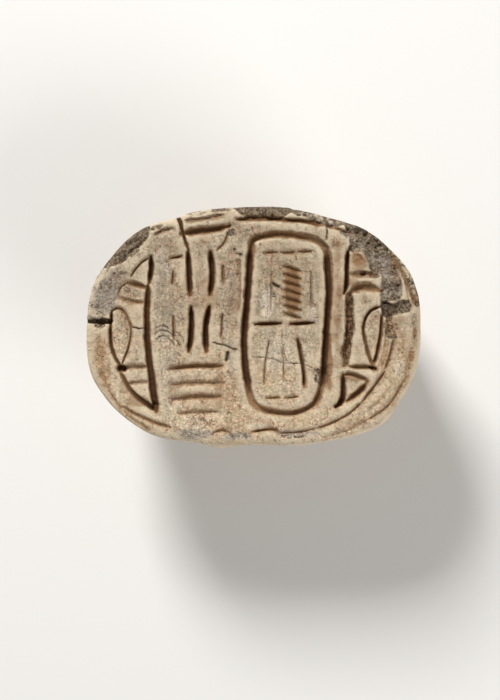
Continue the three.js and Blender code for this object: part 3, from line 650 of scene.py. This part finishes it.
def back_lines(x, y):
    side = y / BACK_HALF_WIDTH
    collar_x = COLLAR_X + COLLAR_BOW * (1 - side**2)
    cut = line_cut(x - collar_x) * (np.abs(side) < 0.95)
    behind = smoothstep(-0.05, 0.1, x - collar_x)
    for edge in (-1, 1):
        cut = np.maximum(cut, line_cut(y - edge * SUTURE_GAP / 2) * behind)
        back = x - COLLAR_X
        line = SHOULDER_LINE["at"] + SHOULDER_LINE["slant"] * back
        fade = smoothstep(SHOULDER_LINE["fades_from"], SHOULDER_LINE["fades_to"], back)
        shoulder = line_cut(y - edge * BACK_HALF_WIDTH * line)
        cut = np.maximum(cut, shoulder * (behind * (1 - fade)))
    return cut


def back_field(x, y, z):
    across = np.abs((x - BACK_CENTRE) / BACK_HALF_LENGTH) ** OUTLINE_POWER
    up = np.abs(y / BACK_HALF_WIDTH) ** OUTLINE_POWER
    plan = (across + up) ** (1 / OUTLINE_POWER)
    rise = np.maximum(BACK_RIM - z, 0) / (BACK_RIM + RUBBED_FLAT_DEPTH)
    dome = (plan**BACK_POWER + rise**BACK_POWER) ** (1 / BACK_POWER) - 1
    dome = dome * BACK_RIM + back_lines(x, y)
    dome = smooth_max(dome, z - BACK_RIM - 0.22, 0.3)
    return smooth_max(dome, -z, 0.08)


# Head: a dome, two eyes and a toothed front plate that slopes out to the base
TEETH = 5
TOOTH_DEPTH = 0.28
HEAD_POWER = 2.3
FRONT_PLATE = {"half_angle": 62, "inset": 0.12, "level": 0.82, "back": 0.6}
EYE = {"back": 0.15, "rise": 1.25, "half": (0.71, 0.53, 0.56)}


def head_field(x, y, z):
    plan = ((np.abs((x - HEAD_CENTRE) / HEAD_HALF_LENGTH) ** HEAD_POWER
             + np.abs(y / HEAD_HALF_WIDTH) ** HEAD_POWER) ** (1 / HEAD_POWER))
    rise = np.maximum(BACK_RIM - z, 0) / (BACK_RIM - HEAD_TOP)
    return np.maximum((np.hypot(plan, rise) - 1) * 1.6, z - PLATE_UNDERSIDE - 0.2)


def front_plate_field(x, y, z):
    angle = np.arctan2(y, -(x - HEAD_CENTRE))
    share = angle / math.radians(2 * FRONT_PLATE["half_angle"])
    tooth = TOOTH_DEPTH * np.abs(np.sin(np.pi * TEETH * share)) ** 0.7
    reach = HALF_LENGTH - FRONT_PLATE["inset"] + HEAD_CENTRE - TOOTH_DEPTH + tooth
    level = BACK_RIM * FRONT_PLATE["level"]
    reach = reach * (0.62 + 0.35 * np.clip((z - level) / 1.25, 0, 1.1))
    side = np.hypot(x - HEAD_CENTRE, y) - reach
    side = np.maximum(side, x - HEAD_CENTRE - FRONT_PLATE["back"])
    side = np.maximum(side, (np.abs(angle) - math.radians(FRONT_PLATE["half_angle"])) * 1.5)
    return np.maximum(smooth_max(side, level - z, 0.25), z - PLATE_UNDERSIDE - 0.2)


def eye_field(side):
    half_x, half_y, half_z = EYE["half"]

    def field(x, y, z):
        dx = (x - HEAD_CENTRE - EYE["back"]) / half_x
        dy = (y - side * HEAD_HALF_WIDTH) / half_y
        dz = (z - HEAD_TOP - EYE["rise"]) / half_z
        return (np.sqrt(dx * dx + dy * dy + dz * dz) - 1) * half_z
    return field


# Legs: degrees from the tail, share of the leg zone counted down from the plate, share of thickness
LEGS = {
    "front": [(113, 0.6, 1.1), (127, 0.5, 1.0), (141, 0.42, 0.8), (152, 0.34, 0.55)],
    "middle": [(121, 0.94, 0.75), (108, 0.7, 0.9), (95, 0.42, 0.85), (80, 0.16, 0.55)],
    "hind_thigh": [(104, 0.95, 0.8), (86, 0.86, 1.05), (68, 0.72, 1.1), (49, 0.6, 0.8)],
    "hind_shin": [(57, 0.56, 0.6), (42, 0.48, 0.85), (27, 0.3, 0.75), (16, 0.2, 0.45)],
}
LEG_NOTCH = {"pitch": 0.4, "depth": 0.09}
LEG_SUNK = 0.25  # share of a leg's thickness that lies in the body
LEG_TIP = 0.4


def leg_path(stations, side):
    """Points along a leg and its radius at each."""
    sunk = WAIST_INSET - LEG_THICKNESS * LEG_SUNK
    knots = []
    for degrees, down, thickness in stations:
        angle = math.radians(side * degrees)
        radius = float(plate_radius(np.array([angle]))[0]) - sunk
        level = PLATE_UNDERSIDE - LEG_ZONE_HEIGHT * down
        knots.append((radius * math.cos(angle), radius * math.sin(angle), level, thickness))
    path = curve_through(knots, step=0.3)
    radii = path[:, 3] * LEG_THICKNESS / 2
    radii[0] *= LEG_TIP
    radii[-1] *= LEG_TIP
    return path[:, :3], radii


def leg_field(path, radii):
    def field(x, y, z):
        made = np.full(np.broadcast(x, y, z).shape, 9.0, np.float32)
        run = 0.0
        for a, b, radius_a, radius_b in zip(path[:-1], path[1:], radii[:-1], radii[1:]):
            ab = b - a
            t = ((x - a[0]) * ab[0] + (y - a[1]) * ab[1] + (z - a[2]) * ab[2]) / (ab @ ab)
            t = np.clip(t, 0, 1)
            far = np.sqrt((x - a[0] - t * ab[0]) ** 2 + (y - a[1] - t * ab[1]) ** 2
                          + (z - a[2] - t * ab[2]) ** 2)
            length = np.linalg.norm(ab)
            notch = np.cos((run + t * length) / LEG_NOTCH["pitch"] * 2 * math.pi) ** 8
            radius = radius_a + (radius_b - radius_a) * t - LEG_NOTCH["depth"] * notch
            made = np.minimum(made, far - radius)
            run += length
        return made
    return field


LUMPS = [(0.1, 1.6, 2), (0.06, 0.45, 3)]  # depth, size and octaves
LUMPS_REACH = 0.16  # the deepest that they go


def unevenness(x, y, z):
    """What hand cutting and wear took off, in lumps; less on the face, none where it rests."""
    lumps = sum(depth * noise(x, y, z, size, octaves) for depth, size, octaves in LUMPS)
    on_face = smoothstep(HEIGHT - 1.1, HEIGHT - 0.8, z)
    at_rest = 1 - smoothstep(0.0, 0.15, z)
    return lumps * (1 - 0.7 * on_face) * (1 - at_rest)


def stone_field():
    field = np.full((len(grid_x), len(grid_y), len(grid_z)), 9.0, np.float32)

    def add(start, end, form, blend):
        cuts, x, y, z = block(start, end)
        field[cuts] = smooth_min(field[cuts], form(x, y, z), blend)

    far = 20
    add((-far, -far, PLATE_UNDERSIDE - 0.5), (far, far, far), plate_field, 0.05)
    add((-far, -far, BACK_RIM - 1), (far, far, PLATE_UNDERSIDE + 0.6), waist_field, 0.15)
    add((-far, -far, -1), (far, far, BACK_RIM + 1), back_field, 0.15)
    add((-far, -3.5, HEAD_TOP - 0.5), (-4, 3.5, PLATE_UNDERSIDE + 0.5), head_field, 0.12)
    add((-far, -3.5, HEAD_TOP - 0.5), (-4, 3.5, PLATE_UNDERSIDE + 0.5), front_plate_field, 0.08)
    for side in (-1, 1):
        start = (-far, side * 2.8 - 1.2, HEAD_TOP)
        end = (-4, side * 2.8 + 1.2, PLATE_UNDERSIDE)
        add(start, end, eye_field(side), 0.08)
        for stations in LEGS.values():
            path, radii = leg_path(stations, side)
            reach = LEG_THICKNESS
            add(path.min(0) - reach, path.max(0) + reach, leg_field(path, radii), 0.1)

    cuts, x, y, z = block((-far, -1.2, BORE_LEVEL - 1.2), (far, 1.2, BORE_LEVEL + 1.2))
    worn_mouth = 0.12 * smoothstep(HALF_LENGTH - 2.2, HALF_LENGTH - 0.4, np.abs(x))
    bore = BORE_RADIUS + worn_mouth - np.hypot(y, z - BORE_LEVEL)
    field[cuts] = smooth_max(field[cuts], bore, 0.08)

    near = np.nonzero(np.abs(field) < LUMPS_REACH)
    x, y, z = grid_x[near[0]], grid_y[near[1]], grid_z[near[2]]
    field[near] += unevenness(x, y, z)
    return field


def surface_net(field):
    """Points and four-sided faces of the surface where the field is zero."""
    axes = (grid_x, grid_y, grid_z)
    inside = field < 0
    count = sum(inside[i:i - 1 or None, j:j - 1 or None, k:k - 1 or None].astype(np.uint8)
                for i in (0, 1) for j in (0, 1) for k in (0, 1))
    cells = np.argwhere((count > 0) & (count < 8))
    number = np.full(count.shape, -1, np.int32)
    number[tuple(cells.T)] = np.arange(len(cells))
    total = np.zeros((len(cells), 3))
    crossings = np.zeros(len(cells))
    for axis in range(3):
        others = [k for k in range(3) if k != axis]
        for corner in range(4):
            start = cells.copy()
            start[:, others[0]] += corner & 1
            start[:, others[1]] += corner >> 1
            end = start.copy()
            end[:, axis] += 1
            a, b = field[tuple(start.T)], field[tuple(end.T)]
            crossed = (a < 0) != (b < 0)
            t = np.where(crossed, a / np.where(crossed, a - b, 1), 0)
            for k in range(3):
                place = axes[k][start[:, k]] + (t * CELL if k == axis else 0)
                total[:, k] += np.where(crossed, place, 0)
            crossings += crossed
    points = total / crossings[:, None]

    faces = []
    for axis in range(3):
        u, v = [k for k in range(3) if k != axis]
        first = np.take(inside, range(inside.shape[axis] - 1), axis)
        second = np.take(inside, range(1, inside.shape[axis]), axis)
        edges = np.argwhere(first != second)
        opens = first[tuple(edges.T)]
        quad = []
        for du, dv in ((-1, -1), (0, -1), (0, 0), (-1, 0)):
            cell = edges.copy()
            cell[:, u] += du
            cell[:, v] += dv
            quad.append(number[tuple(cell.T)])
        quad = np.stack(quad, axis=1)
        flip = opens if axis == 1 else ~opens
        quad[flip] = quad[flip][:, ::-1]
        faces.append(quad)
    return points, np.concatenate(faces)


def mesh_of(points, faces):
    mesh = bpy.data.meshes.new("scarab_stone")
    mesh.from_pydata(points * MM, [], faces)
    mesh.update()
    return mesh


def thin_out(stone):
    """Joins triangles where the stone is smooth, which leaves most of them to the engraving."""
    triangles = sum(len(p.vertices) - 2 for p in stone.data.polygons)
    thinner = stone.modifiers.new("thinner", "DECIMATE")
    thinner.ratio = min(1.0, TRIANGLES / triangles)
    bpy.context.view_layer.objects.active = stone
    bpy.ops.object.modifier_apply(modifier=thinner.name)


def places(mesh):
    co = np.empty(len(mesh.vertices) * 3)
    mesh.vertices.foreach_get("co", co)
    return co.reshape(-1, 3) / MM


def normals(mesh):
    found = np.empty(len(mesh.vertices) * 3)
    mesh.vertex_normals.foreach_get("vector", found)
    return found.reshape(-1, 3)


def keep_in_box(mesh):
    """Holds the stone inside the solid's box."""
    box = np.array(CAD_BOX) / MM
    co = np.clip(places(mesh), box[0], box[1])
    mesh.vertices.foreach_set("co", (co * MM).ravel())
    mesh.update()


def hollows(mesh, rounds=3):
    """How far each point lies in a hollow, from 0 on a level or convex place to 1."""
    edges = np.empty(len(mesh.edges) * 2, int)
    mesh.edges.foreach_get("vertices", edges)
    a, b = edges.reshape(-1, 2).T
    count = len(mesh.vertices)
    neighbours = np.bincount(a, minlength=count) + np.bincount(b, minlength=count)

    def average(values):
        total = np.bincount(a, values[b], count) + np.bincount(b, values[a], count)
        return total / np.maximum(neighbours, 1)

    co = places(mesh)
    smooth = co.copy()
    for _ in range(rounds * 6):
        smooth = np.stack([average(smooth[:, k]) for k in range(3)], axis=1)
    sunk = ((smooth - co) * normals(mesh)).sum(axis=1)
    for _ in range(2):
        sunk = average(sunk)
    return sunk


def add_attribute(mesh, name, values):
    made = mesh.attributes.new(name, "FLOAT", "POINT")
    made.data.foreach_set("value", np.clip(values, 0, 1).astype(np.float32))


MARK_NAMES = (*MAP_NAMES[1:], "recess_dirt_and_shade", "worn_and_highlit_edges")


def mark(mesh):
    """Writes what the material reads: where dirt, crust, grey skin, cracks and stains lie, where
    earth colour is painted as shade in the hollows off the face, and where convex edges are painted
    paler as wear and highlight.
    """
    x, y, z = places(mesh).T
    on_face = smoothstep(HEIGHT - 0.95, HEIGHT - 0.5, z)
    sunk = hollows(mesh)
    # Hollows off the face get earth colour: partly dirt, partly painted shade
    recess_dirt_and_shade = smoothstep(0.01, 0.09, sunk)
    # Convex places, painted paler later as wear and painted highlight
    worn_and_highlit_edges = smoothstep(0.01, 0.08, -sunk)
    patchy = 0.9 * (noise(x, y, z, 0.9, 3) - 0.5)
    down_side = smoothstep(HEIGHT - 1.9, HEIGHT - 0.6, z + patchy)
    for name in MAP_NAMES[1:]:
        reach = on_face if name in ("dirt", "crack") else down_side
        add_attribute(mesh, name, sample(name, x, y) * reach)
    add_attribute(mesh, "recess_dirt_and_shade", recess_dirt_and_shade * (1 - on_face))
    add_attribute(mesh, "worn_and_highlit_edges", worn_and_highlit_edges)


# Material
def srgb(red, green, blue):
    """Red, green and blue from 0 to 255 as a linear colour."""
    def linear(value):
        share = value / 255
        return share / 12.92 if value <= 10 else ((share + 0.055) / 1.055) ** 2.4
    return (linear(red), linear(green), linear(blue), 1.0)


STONE_PALE = srgb(214, 196, 168)
STONE_CLEAN = srgb(232, 215, 192)
STONE_MID = srgb(186, 164, 132)
STONE_WARM = srgb(196, 158, 128)
STONE_GREEN = srgb(165, 156, 121)
STONE_GREY = srgb(168, 154, 138)
DIRT = srgb(138, 102, 64)
DIRT_DEEP = srgb(72, 43, 14)
CRUST = srgb(150, 132, 106)
CRUST_DARK = srgb(80, 64, 48)
CRACK_COLOUR = srgb(44, 26, 10)
OCHRE = srgb(158, 118, 80)
STONE_SPECULAR = 0.35
BUMP_HEIGHT = 0.075
MOST = (0.3, 0.7)  # the range that most of a noise pattern lies in


class Nodes:
    """Short ways to add and join the nodes of one material."""

    def __init__(self, material):
        material.use_nodes = True
        self.tree = material.node_tree
        self.tree.nodes.clear()

    def add(self, kind, values=None, **settings):
        node = self.tree.nodes.new(kind)
        for name, value in settings.items():
            setattr(node, name, value)
        for name, value in (values or {}).items():
            self.feed(node.inputs[name], value)
        return node

    def feed(self, socket, value):
        if isinstance(value, bpy.types.NodeSocket):
            self.tree.links.new(value, socket)
        else:
            socket.default_value = value

    def noise(self, place, size, detail=3.0, roughness=0.6, bend=0.0):
        """Noise whose lumps are about `size` millimetres across."""
        values = {"Vector": place, "Scale": 1 / (size * MM), "Detail": detail}
        values.update({"Roughness": roughness, "Distortion": bend})
        return self.add("ShaderNodeTexNoise", values).outputs["Fac"]

    def steps(self, value, start, end):
        """Rises smoothly from 0 to 1 as the value goes from start to end."""
        values = {"Value": value, "From Min": start, "From Max": end}
        node = self.add("ShaderNodeMapRange", values, interpolation_type="SMOOTHSTEP")
        return node.outputs["Result"]

    def maths(self, operation, a, b=0.5):
        node = self.add("ShaderNodeMath", operation=operation, use_clamp=False)
        self.feed(node.inputs[0], a)
        self.feed(node.inputs[1], b)
        return node.outputs[0]

    def mix(self, share, a, b):
        node = self.add("ShaderNodeMix", data_type="RGBA")
        self.feed(node.inputs[0], share)
        self.feed(node.inputs[6], a)
        self.feed(node.inputs[7], b)
        return node.outputs[2]

    def shade(self, colour, grey):
        """The colour made lighter or darker by a factor."""
        node = self.add("ShaderNodeVectorMath", operation="SCALE")
        self.feed(node.inputs[0], colour)
        self.feed(node.inputs["Scale"], grey)
        return node.outputs[0]

    def between(self, value, low, high, start=0.0, end=1.0):
        values = {"Value": value, "From Min": start, "From Max": end, "To Min": low, "To Max": high}
        return self.add("ShaderNodeMapRange", values).outputs["Result"]

    def tint(self, colour, share, pattern, start, end, other):
        """Mixes in another colour, by a share and where the pattern goes from start to end."""
        share = self.maths("MULTIPLY", share, self.steps(pattern, start, end))
        return self.mix(share, colour, other)

    def attribute(self, name):
        return self.add("ShaderNodeAttribute", attribute_name=name).outputs["Fac"]

    def finish(self, colour, roughness, normal=None):
        """Joins the shader to the material's output."""
        values = {"Base Color": colour, "Roughness": roughness}
        shader = self.add("ShaderNodeBsdfPrincipled", values)
        if normal is not None:
            self.feed(shader.inputs["Normal"], normal)
            shader.inputs["Specular IOR Level"].default_value = STONE_SPECULAR
        output = self.add("ShaderNodeOutputMaterial")
        self.feed(output.inputs["Surface"], shader.outputs[0])


def wandering(n, place, size, reach):
    """Places moved a little to and fro, so that what is drawn over them wanders."""
    noise_node = n.add("ShaderNodeTexNoise", {"Vector": place, "Scale": 1 / (size * MM)})
    moved = n.add("ShaderNodeVectorMath", operation="MULTIPLY_ADD")
    n.feed(moved.inputs[0], noise_node.outputs["Color"])
    n.feed(moved.inputs[1], (reach * MM,) * 3)
    n.feed(moved.inputs[2], place)
    return moved.outputs[0]


def patterns(n, place):
    """The stone's patterns, with their sizes in millimetres."""
    drawn_out = n.add("ShaderNodeMapping", {"Vector": place, "Scale": (1.0, 0.12, 1.0)})
    made = {
        "broad": n.noise(place, 3.0, 4, bend=0.6),
        "blotch": n.noise(place, 0.7, 5, 0.65, bend=1.2),
        "clumps": n.noise(place, 0.33, 6, 0.75, bend=0.8),
        "specks": n.noise(place, 0.2, 4, 0.7, bend=0.5),
        "grain": n.noise(place, 0.13, 4, 0.82),
        "streaks": n.noise(drawn_out.outputs[0], 0.14, 3, 0.6),
    }
    cells = n.add("ShaderNodeTexVoronoi", {"Vector": place, "Scale": 1 / (0.22 * MM)})
    pits = n.steps(cells.outputs["Distance"], 0.24, 0.1)
    made["pits"] = n.maths("MULTIPLY", pits, n.steps(made["blotch"], 0.4, 0.55))
    net = {"Vector": wandering(n, place, 0.5, 0.35), "Scale": 1 / (0.75 * MM)}
    edges = n.add("ShaderNodeTexVoronoi", net, feature="DISTANCE_TO_EDGE")
    lines = n.steps(edges.outputs["Distance"], 0.035, 0.0)
    made["hairlines"] = n.maths("MULTIPLY", lines, n.steps(made["blotch"], 0.5, 0.6))
    return made


def darker_towards_plus_y(n, place, broad):
    """How much darker the stone is made: most towards +Y, a little towards +X, broken up by broad
    noise.
    """
    upper = n.add("ShaderNodeVectorMath", operation="DOT_PRODUCT")
    n.feed(upper.inputs[0], place)
    n.feed(upper.inputs[1], (0.15, 1.0, 0.0))
    rise = n.between(upper.outputs["Value"], 0.0, 1.0, -5.5 * MM, 2.5 * MM)
    return n.steps(n.maths("ADD", rise, n.between(broad, -0.3, 0.3, *MOST)), 0.0, 1.0)


def plain_stone(n, pattern, marks, place):
    """Blotched and stained stone, made darker towards +Y."""
    colour = n.mix(n.steps(pattern["broad"], 0.36, 0.64), STONE_MID, STONE_PALE)
    colour = n.tint(colour, 0.8, pattern["blotch"], 0.47, 0.66, STONE_WARM)
    colour = n.tint(colour, 0.7, pattern["blotch"], 0.46, 0.32, STONE_GREEN)
    colour = n.tint(colour, 0.55, pattern["specks"], 0.5, 0.62, STONE_WARM)
    colour = n.tint(colour, 0.45, pattern["specks"], 0.5, 0.38, STONE_GREEN)
    colour = n.tint(colour, marks["grey"], pattern["clumps"], 0.2, 0.5, STONE_GREY)
    colour = n.tint(colour, marks["ochre"], pattern["clumps"], 0.34, 0.52, OCHRE)
    colour = n.tint(colour, marks["clean"], pattern["clumps"], 0.28, 0.5, STONE_CLEAN)
    return n.shade(colour, n.between(darker_towards_plus_y(n, place, pattern["broad"]), 1.0, 0.67))


def with_grain(n, pattern, marks, colour):
    """Streaks, clumps, grain, pits, fine cracks, and pale edges over the stone, partly wear and
    partly painted highlight.
    """
    contrast = (("streaks", 1.16, 0.82), ("clumps", 1.22, 0.76), ("grain", 1.66, 0.36))
    for name, pale, dark in contrast:
        colour = n.shade(colour, n.between(pattern[name], pale, dark, *MOST))
    for name, dark in (("pits", 0.5), ("hairlines", 0.4)):
        colour = n.shade(colour, n.between(pattern[name], 1.0, dark))
    # Convex edges go pale: partly wear, partly painted highlight
    return n.mix(n.maths("MULTIPLY", marks["worn_and_highlit_edges"], 0.75), colour, STONE_PALE)


def with_crust(n, pattern, marks, colour):
    """Dark crust in clumps, brown where the stone is stained."""
    speckle = n.steps(pattern["grain"], 0.56, 0.4)
    crust = n.mix(speckle, CRUST_DARK, CRUST)
    crust = n.shade(crust, n.between(pattern["clumps"], 1.28, 0.7, 0.35, 0.65))
    brown = n.mix(speckle, DIRT_DEEP, DIRT)
    crust = n.mix(n.maths("MULTIPLY", marks["ochre"], 0.85), crust, brown)
    clumps = n.between(pattern["clumps"], -0.5, 0.5, *MOST)
    uneven = n.maths("ADD", clumps, n.between(pattern["blotch"], -0.35, 0.35, *MOST))
    share = n.steps(n.maths("ADD", marks["patina"], uneven), 0.3, 0.7)
    share = n.maths("MULTIPLY", share, n.steps(marks["patina"], 0.02, 0.35))
    return n.mix(share, colour, crust)


def with_earth(n, pattern, marks, colour):
    """Earth in the cuts, earth colour in the hollows of the sides and back as dirt and painted shade,
    and dark cracks.
    """
    # The hollows mark paints dirt and shade together in earth colours
    filled = n.maths("MAXIMUM", marks["dirt"], n.maths("MULTIPLY", marks["recess_dirt_and_shade"], 0.85))
    filled = n.maths("ADD", filled, n.between(pattern["grain"], 0.18, -0.18, *MOST))
    earth = n.mix(n.steps(filled, 0.45, 0.95), DIRT, DIRT_DEEP)
    earth = n.shade(earth, n.between(pattern["grain"], 1.5, 0.6, *MOST))
    colour = n.mix(n.steps(filled, 0.12, 0.75), colour, earth)
    return n.mix(marks["crack"], colour, CRACK_COLOUR)


def fine_relief(n, pattern, marks):
    """Bumps finer than the mesh, up to BUMP_HEIGHT high."""
    grain = n.maths("MULTIPLY", pattern["grain"], -0.8)
    height = n.maths("ADD", grain, n.maths("MULTIPLY", pattern["clumps"], -0.9))
    holes = n.maths("ADD", pattern["pits"], pattern["hairlines"])
    height = n.maths("SUBTRACT", height, n.maths("MULTIPLY", holes, 0.6))
    crumbs = n.maths("MULTIPLY", pattern["clumps"], marks["patina"])
    height = n.maths("SUBTRACT", height, n.maths("MULTIPLY", crumbs, 1.2))
    values = {"Height": height, "Strength": 1.0, "Distance": BUMP_HEIGHT * MM}
    return n.add("ShaderNodeBump", values).outputs[0]


def steatite():
    material = bpy.data.materials.new("steatite")
    n = Nodes(material)
    place = n.add("ShaderNodeTexCoord").outputs["Object"]
    pattern = patterns(n, place)
    marks = {name: n.attribute(name) for name in MARK_NAMES}
    colour = plain_stone(n, pattern, marks, place)
    for layer in (with_grain, with_crust, with_earth):
        colour = layer(n, pattern, marks, colour)
    n.finish(colour, n.between(pattern["grain"], 0.62, 0.92), fine_relief(n, pattern, marks))
    return material


def plain_material(name, colour, roughness):
    material = bpy.data.materials.new(name)
    n = Nodes(material)
    n.finish(colour, roughness)
    return material


def make_stone():
    cut_strokes()
    damage_face()
    points, faces = surface_net(stone_field())
    mesh = mesh_of(points, faces)
    stone = bpy.data.objects.new("scarab_stone", mesh)
    bpy.context.scene.collection.objects.link(stone)
    thin_out(stone)
    keep_in_box(stone.data)
    mark(stone.data)
    stone.data.shade_smooth()
    stone.data.materials.append(steatite())
    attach(stone, "root")
    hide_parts("scarab")
    return stone


# Stage
FRAME_PIXELS = (500, 700)
STONE_PIXELS = 336  # the amulet's length in the photo
MM_PER_PIXEL = 2 * HALF_LENGTH / STONE_PIXELS
STONE_MIDDLE_PIXEL = (254, 327.5)
LENS = 100
SENSOR = 36
FLOOR_HALF = 0.6
FLOOR_COLOUR = srgb(226, 224, 220)
WORLD_COLOUR = (1.0, 0.98, 0.95, 1.0)
WORLD_STRENGTH = 0.245


def make_camera():
    view_height = FRAME_PIXELS[1] * MM_PER_PIXEL
    away = view_height / SENSOR * LENS
    x = (FRAME_PIXELS[0] / 2 - STONE_MIDDLE_PIXEL[0]) * MM_PER_PIXEL
    y = (STONE_MIDDLE_PIXEL[1] - FRAME_PIXELS[1] / 2) * MM_PER_PIXEL
    data = bpy.data.cameras.new("camera")
    data.lens = LENS
    data.sensor_width = SENSOR
    data.clip_start = 0.001
    data.clip_end = 10
    camera = bpy.data.objects.new("camera", data)
    camera.location = (x * MM, y * MM, (HEIGHT + away) * MM)
    bpy.context.scene.collection.objects.link(camera)
    bpy.context.scene.camera = camera


def make_light(name, place, size, power):
    """A soft square light at a place in millimetres, facing the stone."""
    data = bpy.data.lights.new(name, "AREA")
    data.size = size * MM
    data.energy = power
    light = bpy.data.objects.new(name, data)
    light.location = [c * MM for c in place]
    light.rotation_euler = (-light.location).to_track_quat("-Z", "Y").to_euler()
    bpy.context.scene.collection.objects.link(light)


def make_floor():
    mesh = bpy.data.meshes.new("floor")
    corners = [(FLOOR_HALF * x, FLOOR_HALF * y, 0) for x, y in ((-1, -1), (1, -1), (1, 1), (-1, 1))]
    mesh.from_pydata(corners, [], [(0, 1, 2, 3)])
    mesh.materials.append(plain_material("floor", FLOOR_COLOUR, 0.9))
    floor = bpy.data.objects.new("floor", mesh)
    bpy.context.scene.collection.objects.link(floor)


def make_world():
    world = bpy.data.worlds.new("studio")
    world.use_nodes = True
    background = world.node_tree.nodes["Background"]
    background.inputs["Color"].default_value = WORLD_COLOUR
    background.inputs["Strength"].default_value = WORLD_STRENGTH
    bpy.context.scene.world = world


bpy.context.scene.view_settings.view_transform = "Standard"
make_stone()
make_camera()
make_floor()
make_world()
make_light("key", place=(-90, 200, 140), size=70, power=0.91)
make_light("fill", place=(190, -160, 110), size=160, power=0.54)
